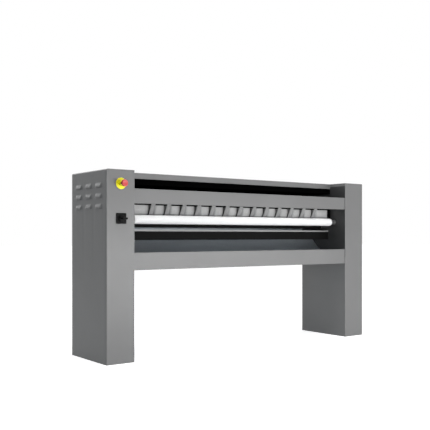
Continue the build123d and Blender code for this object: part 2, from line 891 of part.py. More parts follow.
# Heated chest round the back of the roll
heater_radial = insulation_inner + heater_depth + heater_radius
heater_span = chest_rear_angle - chest_front_angle - 2 * heater_angle_margin
heater_places = [
    polar_point(
        roll_centre,
        heater_radial,
        chest_front_angle + heater_angle_margin + index * heater_span / (heater_count - 1),
    )
    for index in range(heater_count)
]
cover_lip = degrees(sheet / chest_outer)
chest_layers = (
    ("chest_plate", chest_inner, chest_plate_outer, 0),
    ("chest_insulation", insulation_inner, insulation_outer, cover_lip * 2),
)
for label, inner, outer, trim in chest_layers:
    with BuildPart() as layer:
        with BuildSketch(section_at(-chest_half)):
            make_face(
                ring_sector(
                    roll_centre, inner, outer, chest_front_angle + trim, chest_rear_angle - trim
                )
            )
            if label == "chest_insulation":
                with Locations(*heater_places):
                    Circle(heater_radius + clearance, mode=Mode.SUBTRACT)
        extrude(amount=2 * chest_half)
    layer.part.label = label
    export_step(layer.part, f"parts/{label}.step")

with BuildPart() as chest_cover:
    with BuildSketch(section_at(-chest_half)):
        make_face(
            ring_sector(
                roll_centre, insulation_inner, chest_outer, chest_front_angle, chest_rear_angle
            )
        )
        make_face(
            ring_sector(
                roll_centre,
                insulation_inner - overrun,
                chest_cover_inner,
                chest_front_angle + cover_lip,
                chest_rear_angle - cover_lip,
            ),
            mode=Mode.SUBTRACT,
        )
    extrude(amount=2 * chest_half)
chest_cover.part.label = "chest_cover"
export_step(chest_cover.part, "parts/chest_cover.step")

with BuildPart() as chest_heaters:
    with BuildSketch(section_at(-chest_half)):
        with Locations(*heater_places):
            Circle(heater_radius)
    extrude(amount=2 * chest_half)
chest_heaters.part.label = "chest_heaters"
export_step(chest_heaters.part, "parts/chest_heaters.step")

with BuildPart() as chest_end_plates:
    for sign in (-1, 1):
        low_x, width = side_span(sign, chest_half, chest_end_x)
        pin_x, pin_width = side_span(sign, chest_end_x, pin_end_x)
        with BuildSketch(section_at(low_x)):
            make_face(
                ring_sector(
                    roll_centre, chest_inner, chest_outer, chest_front_angle, chest_rear_angle
                )
            )
        extrude(amount=width)
        with BuildSketch(section_at(pin_x)):
            with Locations(*chest_pin_places):
                Circle(chest_pin_radius)
        extrude(amount=pin_width)
chest_end_plates.part.label = "chest_end_plates"
export_step(chest_end_plates.part, "parts/chest_end_plates.step")

# Press actuators: rods on the lower chest pins, bodies on feet against the inner frames
press_x = pin_end_x - press_rod_inset
press_start = chest_pin_places[0]
press_direction = (0, travel_y, travel_z)
press_room = (rear_inner_y - press_start[0]) / travel_y
press_body_length = press_room - press_body_start - press_rear_gap
with BuildPart() as press_rods:
    for sign in (-1, 1):
        rod_plane = Plane(
            origin=(
                sign * press_x,
                press_start[0] + travel_y * chest_pin_radius,
                press_start[1] + travel_z * chest_pin_radius,
            ),
            x_dir=(1, 0, 0),
            z_dir=press_direction,
        )
        with BuildSketch(rod_plane):
            Circle(press_rod_radius)
        extrude(amount=press_rod_length)
press_rods.part.label = "press_rods"
export_step(press_rods.part, "parts/press_rods.step")

with BuildPart() as press_actuators:
    for sign in (-1, 1):
        body_plane = Plane(
            origin=(
                sign * press_x,
                press_start[0] + travel_y * press_body_start,
                press_start[1] + travel_z * press_body_start,
            ),
            x_dir=(-sign, 0, 0),
            z_dir=press_direction,
        )
        foot_reach = press_x - frame_outer_x
        with BuildSketch(body_plane):
            Circle(press_body_radius)
            Rectangle(foot_reach, press_foot_width, align=(Align.MIN, Align.CENTER))
        extrude(amount=press_body_length)
        with BuildSketch(body_plane):
            Circle(press_rod_radius + running_fit)
        extrude(amount=press_bore_depth, mode=Mode.SUBTRACT)
press_actuators.part.label = "press_actuators"
export_step(press_actuators.part, "parts/press_actuators.step")

# Feed roller: white cover with rounded shoulders, tube, bearings, fixed axle
with BuildPart() as feed_roller_cover:
    with BuildSketch(section_at(-feed_half)):
        with Locations(feed_centre):
            Circle(feed_radius)
    extrude(amount=2 * feed_half)
    ends = feed_roller_cover.edges().filter_by(GeomType.CIRCLE)
    fillet(ends, feed_radius - feed_tube_radius - clearance)
    with BuildSketch(section_at(-feed_half)):
        with Locations(feed_centre):
            Circle(feed_tube_radius + running_fit)
    extrude(amount=2 * feed_half, mode=Mode.SUBTRACT)
feed_roller_cover.part.label = "feed_roller_cover"
export_step(feed_roller_cover.part, "parts/feed_roller_cover.step")

feed_tube_inner = feed_tube_radius - feed_tube_wall
with BuildPart() as feed_roller_tube:
    with BuildSketch(section_at(-feed_tube_half)):
        with Locations(feed_centre):
            Circle(feed_tube_radius)
            Circle(feed_tube_inner, mode=Mode.SUBTRACT)
    extrude(amount=2 * feed_tube_half)
feed_roller_tube.part.label = "feed_roller_tube"
export_step(feed_roller_tube.part, "parts/feed_roller_tube.step")

with BuildPart() as feed_roller_bearings:
    for low_x in (-feed_tube_half, feed_tube_half - feed_bearing_length):
        with BuildSketch(section_at(low_x)):
            with Locations(feed_centre):
                Circle(feed_tube_inner - running_fit)
                Circle(feed_axle_radius + running_fit, mode=Mode.SUBTRACT)
        extrude(amount=feed_bearing_length)
feed_roller_bearings.part.label = "feed_roller_bearings"
export_step(feed_roller_bearings.part, "parts/feed_roller_bearings.step")

with BuildPart() as feed_axle:
    with BuildSketch(section_at(-axle_half)):
        with Locations(feed_centre):
            Circle(feed_axle_radius)
    extrude(amount=2 * axle_half)
feed_axle.part.label = "feed_axle"
export_step(feed_axle.part, "parts/feed_axle.step")

# Guard arms on the pedestal side of the walls, and the axle's collars on the roller's side
collar_inner_x = feed_tube_half + feed_collar_gap
collar_outer_x = wall_x - feed_collar_wall_gap
with BuildPart() as guard_arms:
    for sign in (-1, 1):
        low_x, width = side_span(sign, arm_inner_x, arm_outer_x)
        with BuildSketch(section_at(low_x)):
            with Locations(((feed_y + pivot_centre[0]) / 2, feed_height)):
                SlotCenterToCenter(arm_length, 2 * arm_eye_radius)
            with Locations(feed_centre):
                Circle(feed_axle_radius + running_fit, mode=Mode.SUBTRACT)
            with Locations(pivot_centre):
                Circle(pivot_radius + running_fit, mode=Mode.SUBTRACT)
        extrude(amount=width)
        collar_x, collar_width = side_span(sign, collar_inner_x, collar_outer_x)
        with BuildSketch(section_at(collar_x)):
            with Locations(feed_centre):
                Circle(feed_collar_radius)
                Circle(feed_axle_radius + running_fit, mode=Mode.SUBTRACT)
        extrude(amount=collar_width)
guard_arms.part.label = "guard_arms"
export_step(guard_arms.part, "parts/guard_arms.step")

limit_tip = feed_height + arm_rise + arm_eye_radius + limit_gap
with BuildPart() as limit_switches:
    for sign in (-1, 1):
        low_x, width = side_span(sign, frame_outer_x, frame_outer_x + limit_width)
        with BuildSketch(section_at(low_x)):
            with Locations((feed_y, limit_tip + limit_plunger_length)):
                Rectangle(limit_depth, limit_height, align=mid_low)
        extrude(amount=width)
        plunger_x = sign * (frame_outer_x + limit_width / 2)
        with BuildSketch(Plane.XY.offset(limit_tip)):
            with Locations((plunger_x, feed_y)):
                Circle(limit_plunger_radius)
        extrude(amount=limit_plunger_length)
limit_switches.part.label = "limit_switches"
export_step(limit_switches.part, "parts/limit_switches.step")

# Feed shelf with its folded nose, and the black apron under it
with BuildPart() as feed_shelf:
    with BuildSketch(section_at(-wall_x)):
        with Locations((shelf_y, shelf_top)):
            Rectangle(shelf_depth, sheet, align=top_corner)
            Rectangle(sheet, shelf_nose, align=top_corner)
    extrude(amount=2 * wall_x)
feed_shelf.part.label = "feed_shelf"
export_step(feed_shelf.part, "parts/feed_shelf.step")

with BuildPart() as shelf_apron:
    with BuildSketch(section_at(-wall_x)):
        with Locations((shelf_y + sheet, apron_low)):
            Rectangle(sheet, shelf_top - sheet - apron_low, align=low_corner)
            Rectangle(apron_return, sheet, align=low_corner)
    extrude(amount=2 * wall_x)
shelf_apron.part.label = "shelf_apron"
export_step(shelf_apron.part, "parts/shelf_apron.step")

# Linen trough: flat floor behind the lower rail, then one arc up to the rear
trough_bend_y = front_y + trough_bend_depth_share * overall_depth
trough_run = rear_inner_y - trough_rear_gap - trough_bend_y
trough_radius = (trough_run**2 + trough_climb**2) / (2 * trough_climb)
trough_centre = (trough_bend_y, trough_floor + trough_radius)
trough_start_angle = -90.0
trough_end_angle = trough_start_angle + degrees(asin(trough_run / trough_radius))
trough_mid_angle = (trough_start_angle + trough_end_angle) / 2
trough_low_radius = trough_radius + sheet
trough_half = wall_x - sheet
with BuildPart() as linen_trough:
    with BuildSketch(section_at(-trough_half)):
        with BuildLine():
            Line((rail_inner_y, trough_floor), (trough_bend_y, trough_floor))
            ThreePointArc(
                (trough_bend_y, trough_floor),
                polar_point(trough_centre, trough_radius, trough_mid_angle),
                polar_point(trough_centre, trough_radius, trough_end_angle),
            )
            Line(
                polar_point(trough_centre, trough_radius, trough_end_angle),
                polar_point(trough_centre, trough_low_radius, trough_end_angle),
            )
            ThreePointArc(
                polar_point(trough_centre, trough_low_radius, trough_end_angle),
                polar_point(trough_centre, trough_low_radius, trough_mid_angle),
                (trough_bend_y, trough_floor - sheet),
            )
            Line((trough_bend_y, trough_floor - sheet), (rail_inner_y, trough_floor - sheet))
            Line((rail_inner_y, trough_floor - sheet), (rail_inner_y, trough_floor))
        make_face()
    extrude(amount=2 * trough_half)
linen_trough.part.label = "linen_trough"
export_step(linen_trough.part, "parts/linen_trough.step")

# Rear top cover with its front lip, the black heat shield below it, the middle rear panel
with BuildPart() as top_cover:
    with BuildSketch(section_at(-wall_x)):
        with Locations((lip_y, overall_height)):
            Rectangle(rear_y - lip_y, sheet, align=top_corner)
            Rectangle(sheet, lip_height, align=top_corner)
        with Locations((lip_y, overall_height - lip_height)):
            Rectangle(shield_gap, sheet, align=low_corner)
    extrude(amount=2 * wall_x)
top_cover.part.label = "top_cover"
export_step(top_cover.part, "parts/top_cover.step")

with BuildPart() as heat_shield:
    with BuildSketch(section_at(-wall_x)):
        with Locations((shield_y, shield_low)):
            Rectangle(sheet, panel_top - shield_low, align=low_corner)
            Rectangle(rear_inner_y - shield_y, sheet, align=low_corner)
    extrude(amount=2 * wall_x)
heat_shield.part.label = "heat_shield"
export_step(heat_shield.part, "parts/heat_shield.step")

with BuildPart() as middle_rear_panel:
    with BuildSketch(Plane.XZ.offset(-rear_y)):
        with Locations((-wall_x, rear_panel_low)):
            Rectangle(2 * wall_x, panel_top - rear_panel_low, align=low_corner)
        with Locations(*middle_screws):
            Circle(screw_radius + hole_clearance, mode=Mode.SUBTRACT)
    extrude(amount=sheet)
middle_rear_panel.part.label = "middle_rear_panel"
export_step(middle_rear_panel.part, "parts/middle_rear_panel.step")

# Tie beams: square tubes with drilled end plates
with BuildPart() as tie_beams:
    for low in (lower_beam_low, upper_beam_low):
        with BuildSketch(section_at(-wall_x)):
            with Locations((beam_y + beam_depth / 2, low + beam_height / 2)):
                Rectangle(beam_depth, beam_height)
                Rectangle(
                    beam_depth - 2 * beam_wall, beam_height - 2 * beam_wall, mode=Mode.SUBTRACT
                )
        extrude(amount=2 * wall_x)
        for end_x in (-wall_x, wall_x - beam_wall):
            with BuildSketch(section_at(end_x)):
                with Locations((beam_y + beam_depth / 2, low + beam_height / 2)):
                    Rectangle(beam_depth, beam_height)
                    Circle(bolt_hole_radius, mode=Mode.SUBTRACT)
            extrude(amount=beam_wall)
    with BuildSketch(Plane.XZ.offset(-rear_inner_y - overrun)):
        with Locations(*middle_screws):
            Circle(screw_radius + hole_clearance)
    extrude(amount=beam_wall + 2 * overrun, mode=Mode.SUBTRACT)
tie_beams.part.label = "tie_beams"
export_step(tie_beams.part, "parts/tie_beams.step")

# Rear screws
with BuildPart() as panel_screws:
    with BuildSketch(Plane.XZ.offset(-rear_y)):
        with Locations(*screw_places, *middle_screws):
            Circle(screw_head_radius)
    extrude(amount=-screw_head_height)
    with BuildSketch(Plane.XZ.offset(-rear_y)):
        with Locations(*screw_places, *middle_screws):
            Circle(screw_radius)
    extrude(amount=screw_length)
panel_screws.part.label = "panel_screws"
export_step(panel_screws.part, "parts/panel_screws.step")

# Drive in the left pedestal: pulleys, the motor's one with its shaft, belt, gearmotor, bracket
pulleys = (
    ("roll_pulley", roll_centre, roll_pulley_radius, roll_groove_radius),
    ("motor_pulley", motor_axis, motor_pulley_radius, motor_groove_radius),
)
for label, centre, outer, groove in pulleys:
    with BuildPart() as pulley:
        with BuildSketch(section_at(pulley_low_x)):
            with Locations(centre):
                Circle(outer)
                if label == "roll_pulley":
                    Circle(journal_radius + running_fit, mode=Mode.SUBTRACT)
        extrude(amount=pulley_width)
        with BuildSketch(section_at(pulley_low_x + pulley_cheek)):
            with Locations(centre):
                Circle(outer + overrun)
                Circle(groove, mode=Mode.SUBTRACT)
        extrude(amount=pulley_width - 2 * pulley_cheek, mode=Mode.SUBTRACT)
        if label == "motor_pulley":
            with BuildSketch(section_at(gearbox_face_x - shaft_seat)):
                with Locations(centre):
                    Circle(shaft_radius)
            extrude(amount=pulley_outer_x - gearbox_face_x + shaft_seat)
    pulley.part.label = label
    export_step(pulley.part, f"parts/{label}.step")

roll_belt_radius = roll_groove_radius + clearance
motor_belt_radius = motor_groove_radius + clearance
with BuildPart() as drive_belt:
    with BuildSketch(section_at(pulley_low_x + pulley_cheek + belt_side_gap)):
        make_face(
            band_loop(
                roll_centre,
                roll_belt_radius + belt_thickness,
                motor_axis,
                motor_belt_radius + belt_thickness,
            )
        )
        make_face(
            band_loop(roll_centre, roll_belt_radius, motor_axis, motor_belt_radius),
            mode=Mode.SUBTRACT,
        )
    extrude(amount=belt_width)
drive_belt.part.label = "drive_belt"
export_step(drive_belt.part, "parts/drive_belt.step")

with BuildPart() as gearbox:
    with BuildSketch(section_at(motor_x - gearbox_width / 2)):
        with Locations((roll_y, gearbox_low)):
            Rectangle(gearbox_depth, gearbox_height, align=mid_low)
    extrude(amount=gearbox_width)
    with BuildSketch(section_at(gearbox_face_x)):
        with Locations(motor_axis):
            Circle(shaft_radius + running_fit)
    extrude(amount=-shaft_seat - overrun, mode=Mode.SUBTRACT)
gearbox.part.label = "gearbox"
export_step(gearbox.part, "parts/gearbox.step")

with BuildPart() as motor:
    with BuildSketch(Plane.XY.offset(motor_low)):
        with Locations((motor_x, roll_y)):
            Circle(motor_radius)
    extrude(amount=motor_height)
    with BuildSketch(Plane.XY.offset(bracket_top)):
        with Locations((motor_x, roll_y)):
            Rectangle(motor_foot, motor_foot)
    extrude(amount=motor_foot_thickness)
motor.part.label = "motor"
export_step(motor.part, "parts/motor.step")

bracket_outer_x = motor_x - motor_foot / 2
with BuildPart() as motor_bracket:
    with BuildSketch(Plane.XZ.offset(-roll_y - bracket_depth / 2)):
        with Locations((bracket_outer_x, bracket_top)):
            Rectangle(-frame_outer_x - bracket_outer_x, bracket_thickness, align=top_corner)
        with Locations((-frame_outer_x, bracket_top - bracket_thickness)):
            Rectangle(bracket_thickness, bracket_upright, align=(Align.MAX, Align.MIN))
    extrude(amount=bracket_depth)
motor_bracket.part.label = "motor_bracket"
export_step(motor_bracket.part, "parts/motor_bracket.step")

# Emergency stop: yellow disc, collar with its barrel, stem, red head, contact block
stop_place = (stop_x, stop_height)
with BuildPart() as stop_disc:
    with BuildSketch(before_front(0)):
        with Locations(stop_place):
            Circle(stop_disc_radius)
            Circle(stop_barrel_radius + hole_clearance, mode=Mode.SUBTRACT)
    extrude(amount=stop_disc_thickness)
stop_disc.part.label = "stop_disc"
export_step(stop_disc.part, "parts/stop_disc.step")

with BuildPart() as stop_collar:
    with BuildSketch(before_front(stop_disc_thickness)):
        with Locations(stop_place):
            Circle(stop_collar_radius)
    extrude(amount=stop_collar_length)
    with BuildSketch(before_front(stop_disc_thickness)):
        with Locations(stop_place):
            Circle(stop_barrel_radius)
    extrude(amount=-stop_disc_thickness - stop_barrel_length)
    with BuildSketch(before_front(stop_disc_thickness + stop_collar_length)):
        with Locations(stop_place):
            Circle(stop_stem_radius + running_fit)
    extrude(
        amount=-stop_disc_thickness - stop_collar_length - stop_barrel_length, mode=Mode.SUBTRACT
    )
stop_collar.part.label = "stop_collar"
export_step(stop_collar.part, "parts/stop_collar.step")

with BuildPart() as stop_stem:
    with BuildSketch(before_front(-stop_stem_inside)):
        with Locations(stop_place):
            Circle(stop_stem_radius)
    extrude(amount=stop_stem_inside + stop_head_back - clearance)
    with BuildSketch(before_front(stop_head_back - clearance)):
        with Locations(stop_place):
            Circle(stop_spigot_radius)
    extrude(amount=stop_spigot_length)
stop_stem.part.label = "stop_stem"
export_step(stop_stem.part, "parts/stop_stem.step")

with BuildPart() as stop_head:
    with BuildSketch(before_front(stop_head_back)):
        with Locations(stop_place):
            Circle(stop_head_radius)
    extrude(amount=stop_head_length)
    front_edge = stop_head.edges().filter_by(GeomType.CIRCLE).sort_by(Axis.Y)[0]
    fillet(front_edge, stop_head_round)
    with BuildSketch(before_front(stop_head_back)):
        with Locations(stop_place):
            Circle(stop_spigot_radius + running_fit)
    extrude(amount=stop_spigot_length, mode=Mode.SUBTRACT)
stop_head.part.label = "stop_head"
export_step(stop_head.part, "parts/stop_head.step")

with BuildPart() as stop_block:
    with BuildSketch(before_front(-sheet)):
        with Locations(stop_place):
            Rectangle(stop_block_size, stop_block_size)
            Circle(stop_barrel_radius + running_fit, mode=Mode.SUBTRACT)
    extrude(amount=-stop_block_depth)
    with BuildSketch(before_front(-sheet - stop_block_depth)):
        with Locations(stop_place):
            Rectangle(stop_block_size, stop_block_size)
    extrude(amount=-sheet)
stop_block.part.label = "stop_block"
export_step(stop_block.part, "parts/stop_block.step")

# Main switch: plate, knob with its spindle, body behind the panel
switch_place = (switch_x, switch_height)
with BuildPart() as switch_plate:
    with BuildSketch(before_front(0)):
        with Locations(switch_place):
            RectangleRounded(switch_plate_width, switch_plate_height, switch_corner)
            Circle(spindle_radius + running_fit, mode=Mode.SUBTRACT)
    extrude(amount=switch_plate_thickness)
switch_plate.part.label = "switch_plate"
export_step(switch_plate.part, "parts/switch_plate.step")

knob_back = switch_plate_thickness + clearance
bar_length = knob_bar_front + knob_bar_back
bar_shift = (knob_bar_front - knob_bar_back) / 2
with BuildPart() as switch_knob:
    with BuildSketch(before_front(knob_back)):
        with Locations(switch_place):
            Circle(knob_base_radius)
    extrude(amount=knob_base_length)
    with BuildSketch(before_front(knob_back + knob_base_length)):
        with Locations((switch_x + bar_shift, switch_height)):
            Rectangle(bar_length, knob_bar_width)
    extrude(amount=knob_length)
    bar_front = switch_knob.faces().sort_by(Axis.Y)[0]
    fillet(bar_front.edges(), knob_round)
    with BuildSketch(before_front(knob_back)):
        with Locations(switch_place):
            Circle(spindle_radius)
    extrude(amount=-spindle_length)
switch_knob.part.label = "switch_knob"
export_step(switch_knob.part, "parts/switch_knob.step")

with BuildPart() as switch_body:
    with BuildSketch(before_front(-sheet)):
        with Locations(switch_place):
            Rectangle(switch_body_size, switch_body_size)
    extrude(amount=-switch_body_depth)
    with BuildSketch(before_front(-sheet + overrun)):
        with Locations(switch_place):
            Circle(spindle_radius + running_fit)
    extrude(amount=-spindle_length, mode=Mode.SUBTRACT)
switch_body.part.label = "switch_body"
export_step(switch_body.part, "parts/switch_body.step")

# Electrical plate in the right pedestal, with its standoffs and mounting strips, and what it carries
plate_x = frame_outer_x + plate_standoff
standoff_places = [
    (plate_y + y_place, plate_low + z_place)
    for y_place in (standoff_inset, plate_depth - standoff_inset)
    for z_place in (standoff_inset, plate_height - standoff_inset)
]
strip_x = plate_x + sheet
device_x = strip_x + rail_strip_thickness
plate_mid_y = plate_y + plate_depth / 2
upper_strip_z = plate_low + upper_strip_share * plate_height
lower_strip_z = plate_low + lower_strip_share * plate_height
with BuildPart() as electrical_plate:
    with BuildSketch(section_at(plate_x)):
        with Locations((plate_y, plate_low)):
            Rectangle(plate_depth, plate_height, align=low_corner)
    extrude(amount=sheet)
    with BuildSketch(section_at(frame_outer_x)):
        with Locations(*standoff_places):
            Circle(standoff_radius)
    extrude(amount=plate_standoff)
    with BuildSketch(section_at(strip_x)):
        with Locations((plate_mid_y, upper_strip_z), (plate_mid_y, lower_strip_z)):
            Rectangle(plate_depth - 2 * standoff_inset, rail_strip_height)
    extrude(amount=rail_strip_thickness)
electrical_plate.part.label = "electrical_plate"
export_step(electrical_plate.part, "parts/electrical_plate.step")

contactor_places = [
    (plate_mid_y + contactor_pitch * (index - (contactor_count - 1) / 2), upper_strip_z)
    for index in range(contactor_count)
]
with BuildPart() as contactors:
    with BuildSketch(section_at(device_x)):
        with Locations(*contactor_places):
            Rectangle(contactor_width, contactor_height)
    extrude(amount=contactor_depth)
contactors.part.label = "contactors"
export_step(contactors.part, "parts/contactors.step")

with BuildPart() as terminal_block:
    with BuildSketch(section_at(device_x)):
        with Locations((plate_mid_y, lower_strip_z)):
            Rectangle(terminal_width, terminal_height)
    extrude(amount=terminal_depth)
terminal_block.part.label = "terminal_block"
export_step(terminal_block.part, "parts/terminal_block.step")

with BuildPart() as thermostat:
    with BuildSketch(section_at(strip_x)):
        with Locations((plate_mid_y, (upper_strip_z + lower_strip_z) / 2)):
            Rectangle(thermostat_size, thermostat_size)
    extrude(amount=thermostat_depth)
thermostat.part.label = "thermostat"
export_step(thermostat.part, "parts/thermostat.step")

# Cable gland through the right rear panel
gland_place = (anchor_x, gland_height)
gland_nut_y = rear_y + gland_nut_thickness
with BuildPart() as cable_gland:
    with BuildSketch(Plane.XZ.offset(-rear_inner_y + gland_inside)):
        with Locations(gland_place):
            Circle(gland_thread_radius)
    extrude(amount=-gland_inside - sheet)
    with BuildSketch(Plane.XZ.offset(-rear_y)):
        with Locations(gland_place):
            RegularPolygon(gland_nut_across / 2, hex_sides, major_radius=False)
    extrude(amount=-gland_nut_thickness)
    with BuildSketch(Plane.XZ.offset(-gland_nut_y)):
        with Locations(gland_place):
            Circle(gland_dome_radius)
    extrude(amount=-gland_dome_length)
    with BuildSketch(Plane.XZ.offset(-rear_inner_y + gland_inside)):
        with Locations(gland_place):
            Circle(gland_bore)
    extrude(
        amount=-gland_inside - sheet - gland_nut_thickness - gland_dome_length, mode=Mode.SUBTRACT
    )
cable_gland.part.label = "cable_gland"
export_step(cable_gland.part, "parts/cable_gland.step")
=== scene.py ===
import json
from math import acos, atan2, cos, hypot, pi, radians, sin

import bmesh
import bpy
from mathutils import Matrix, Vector


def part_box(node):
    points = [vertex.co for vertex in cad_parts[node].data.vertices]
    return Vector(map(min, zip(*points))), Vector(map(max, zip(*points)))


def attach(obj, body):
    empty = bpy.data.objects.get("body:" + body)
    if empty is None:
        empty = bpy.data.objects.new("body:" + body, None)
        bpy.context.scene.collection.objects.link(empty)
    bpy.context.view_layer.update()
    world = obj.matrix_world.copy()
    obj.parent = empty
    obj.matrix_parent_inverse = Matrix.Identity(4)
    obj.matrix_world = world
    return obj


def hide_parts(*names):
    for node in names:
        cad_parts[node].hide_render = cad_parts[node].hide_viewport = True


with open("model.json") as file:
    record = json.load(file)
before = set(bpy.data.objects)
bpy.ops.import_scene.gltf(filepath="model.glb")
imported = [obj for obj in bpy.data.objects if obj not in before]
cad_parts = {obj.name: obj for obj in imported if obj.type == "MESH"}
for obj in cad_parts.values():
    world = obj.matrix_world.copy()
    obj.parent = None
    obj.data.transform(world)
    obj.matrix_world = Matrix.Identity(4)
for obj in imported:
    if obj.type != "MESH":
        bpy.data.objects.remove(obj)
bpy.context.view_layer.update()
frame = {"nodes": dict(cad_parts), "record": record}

# Sizes repeated from the part, in metres
ROLL_Y, ROLL_Z = 0.0195, 0.880
ROLL_HALF = 0.840
ROLL_RADIUS = 0.090
CREASE_RADIUS = 0.076
TUBE_RADIUS = 0.068
TAPE_COUNT = 13
TAPE_PITCH = 0.11150
TAPE_SET_OVER = 0.029
TAPE_WIDTH = 0.028
TAPE_THICKNESS = 0.0016
TAPE_ROLLER_Y, TAPE_ROLLER_Z = -0.0935, 0.950
TAPE_ROLLER_RADIUS = 0.012
FEED_Y, FEED_Z = -0.1155, 0.806
FEED_RADIUS = 0.026
FEED_HALF = 0.801
LOUVRE_WIDTH, LOUVRE_HEIGHT, LOUVRE_DEPTH = 0.084, 0.030, 0.007
LOUVRE_NOSE_WIDTH, LOUVRE_NOSE_HEIGHT = 0.060, 0.005
LOUVRE_FIRST_Y, LOUVRE_PITCH_Y = -0.1215, 0.1227
LOUVRE_LOW_Z, LOUVRE_PITCH_Z = 0.8637, 0.0587
LOUVRE_ROWS = LOUVRE_COLUMNS = 3
KNOB_BASE_RADIUS, KNOB_BASE_LENGTH = 0.019, 0.010
KNOB_BAR_WIDTH, KNOB_BAR_FRONT, KNOB_BAR_BACK = 0.013, 0.024, 0.013

# Heights between which the inner frames are painted darker as shade round the roll, in metres
PAINTED_SHADE_LOW_Z, PAINTED_SHADE_HIGH_Z = 0.56, 1.06

# Surface detail: noise scales per metre, and bump depths in metres
CLOUD_SCALE = 3.0
COAT_PATCH_SCALE = 60.0
COAT_PEEL_SCALE, COAT_PEEL_DEPTH = 420.0, 0.00006
COAT_GRAIN_SCALE, COAT_GRAIN_DEPTH = 1800.0, 0.00002
METAL_GRAIN_SCALE, METAL_GRAIN_DEPTH = 900.0, 0.00003
METAL_PATCH_SCALE = 240.0
CAST_CLOUD_SCALE, CAST_PATCH_SCALE = 35.0, 90.0
CAST_PIT_SCALE, CAST_PIT_DEPTH = 500.0, 0.00018
MOULD_CLOUD_SCALE, MOULD_PATCH_SCALE = 22.0, 120.0
MOULD_GRAIN_SCALE, MOULD_GRAIN_DEPTH = 2200.0, 0.00004
SLUB_SCALE, SLUB_STRETCH = 260.0, (1.0, 0.25, 1.0)
CLOTH_CLOUD_SCALE, CLOTH_CLOUD_SHARE = 16.0, 0.6
WHITE = (1.0, 1.0, 1.0, 1.0)
WEAVE_HOLLOW, WEAVE_LIGHT_FROM = (0.86, 0.86, 0.86, 1.0), 0.6
SHADE_STOPS = (0.35, 0.65)

# How far the painted crease shade goes on past the first and the last tape, in tape pitches
PAINTED_SHADE_BEFORE_SHARE, PAINTED_SHADE_AFTER_SHARE = 0.6, 0.3

# Vertices nearer than this are made one, in metres: in a turned piece, and in a CAD node's mesh
MERGE_DISTANCE, SOLID_MERGE_DISTANCE = 1e-7, 1e-5

# Camera of the photograph
camera_data = bpy.data.cameras.new("photo_camera")
camera_data.lens = 59.85
camera_data.sensor_width = 36.0
camera_data.shift_y = 0.0465
camera = bpy.data.objects.new("photo_camera", camera_data)
camera.location = (-2.8734, -3.7180, 0.7156)
camera.rotation_euler = (radians(90.0), 0.0, radians(-36.456))
bpy.context.scene.collection.objects.link(camera)
bpy.context.scene.camera = camera
bpy.context.scene.view_settings.view_transform = "Standard"


def add_light(name, size, place, target, power, colour=(1.0, 1.0, 1.0)):
    """A rectangular soft lamp of (width, height) that faces a point."""
    data = bpy.data.lights.new(name, "AREA")
    data.shape = "RECTANGLE"
    data.size, data.size_y = size
    data.energy = power
    data.color = colour
    lamp = bpy.data.objects.new(name, data)
    lamp.location = place
    way = Vector(target) - Vector(place)
    lamp.rotation_euler = way.to_track_quat("-Z", "Y").to_euler()
    bpy.context.scene.collection.objects.link(lamp)


add_light("key_lamp", (4.0, 0.3), (0.5, -2.5, 0.42), (0.5, 0.0, 0.42), 56.0)
add_light("slot_lamp", (2.8, 0.2), (0.3, -3.4, 0.78), (0.3, 0.0, 0.78), 20.0)
add_light("side_lamp", (2.4, 1.6), (4.2, -4.2, 2.2), (0.0, 0.0, 0.8), 16.0)
add_light("top_lamp", (4.0, 3.0), (0.0, -0.6, 4.0), (0.0, -0.2, 0.0), 115.0)
add_light("fill_lamp", (5.0, 4.0), (-10.0, -5.0, 2.0), (0.0, 0.0, 0.6), 110.0, (0.70, 0.89, 1.0))
add_light("back_lamp", (3.0, 3.0), (-1.5, 6.5, 3.5), (0.0, 0.0, 0.5), 80.0)

# World: white where the camera, gloss or glass sees it, plain grey light otherwise
world = bpy.data.worlds.new("studio")
bpy.context.scene.world = world
world.use_nodes = True
nodes, links = world.node_tree.nodes, world.node_tree.links
nodes.clear()
light_path = nodes.new("ShaderNodeLightPath")
gloss_or_glass = nodes.new("ShaderNodeMath")
gloss_or_glass.operation = "MAXIMUM"
links.new(light_path.outputs["Is Glossy Ray"], gloss_or_glass.inputs[0])
links.new(light_path.outputs["Is Transmission Ray"], gloss_or_glass.inputs[1])
seen = nodes.new("ShaderNodeMath")
seen.operation = "MAXIMUM"
links.new(light_path.outputs["Is Camera Ray"], seen.inputs[0])
links.new(gloss_or_glass.outputs[0], seen.inputs[1])
plain = nodes.new("ShaderNodeBackground")
plain.inputs["Color"].default_value = (0.92, 0.97, 1.0, 1.0)
plain.inputs["Strength"].default_value = 0.10
white = nodes.new("ShaderNodeBackground")
white.inputs["Color"].default_value = (1.0, 1.0, 1.0, 1.0)
white.inputs["Strength"].default_value = 1.0
mixed = nodes.new("ShaderNodeMixShader")
world_out = nodes.new("ShaderNodeOutputWorld")
links.new(seen.outputs[0], mixed.inputs[0])
links.new(plain.outputs[0], mixed.inputs[1])
links.new(white.outputs[0], mixed.inputs[2])
links.new(mixed.outputs[0], world_out.inputs[0])


def grey(level):
    """Linear colour of an sRGB level from 0 to 255, or of three levels."""
    levels = level if isinstance(level, tuple) else (level, level, level)
    out = []
    for value in levels:
        share = value / 255.0
        out.append(share / 12.92 if share <= 0.04045 else ((share + 0.055) / 1.055) ** 2.4)
    return (*out, 1.0)


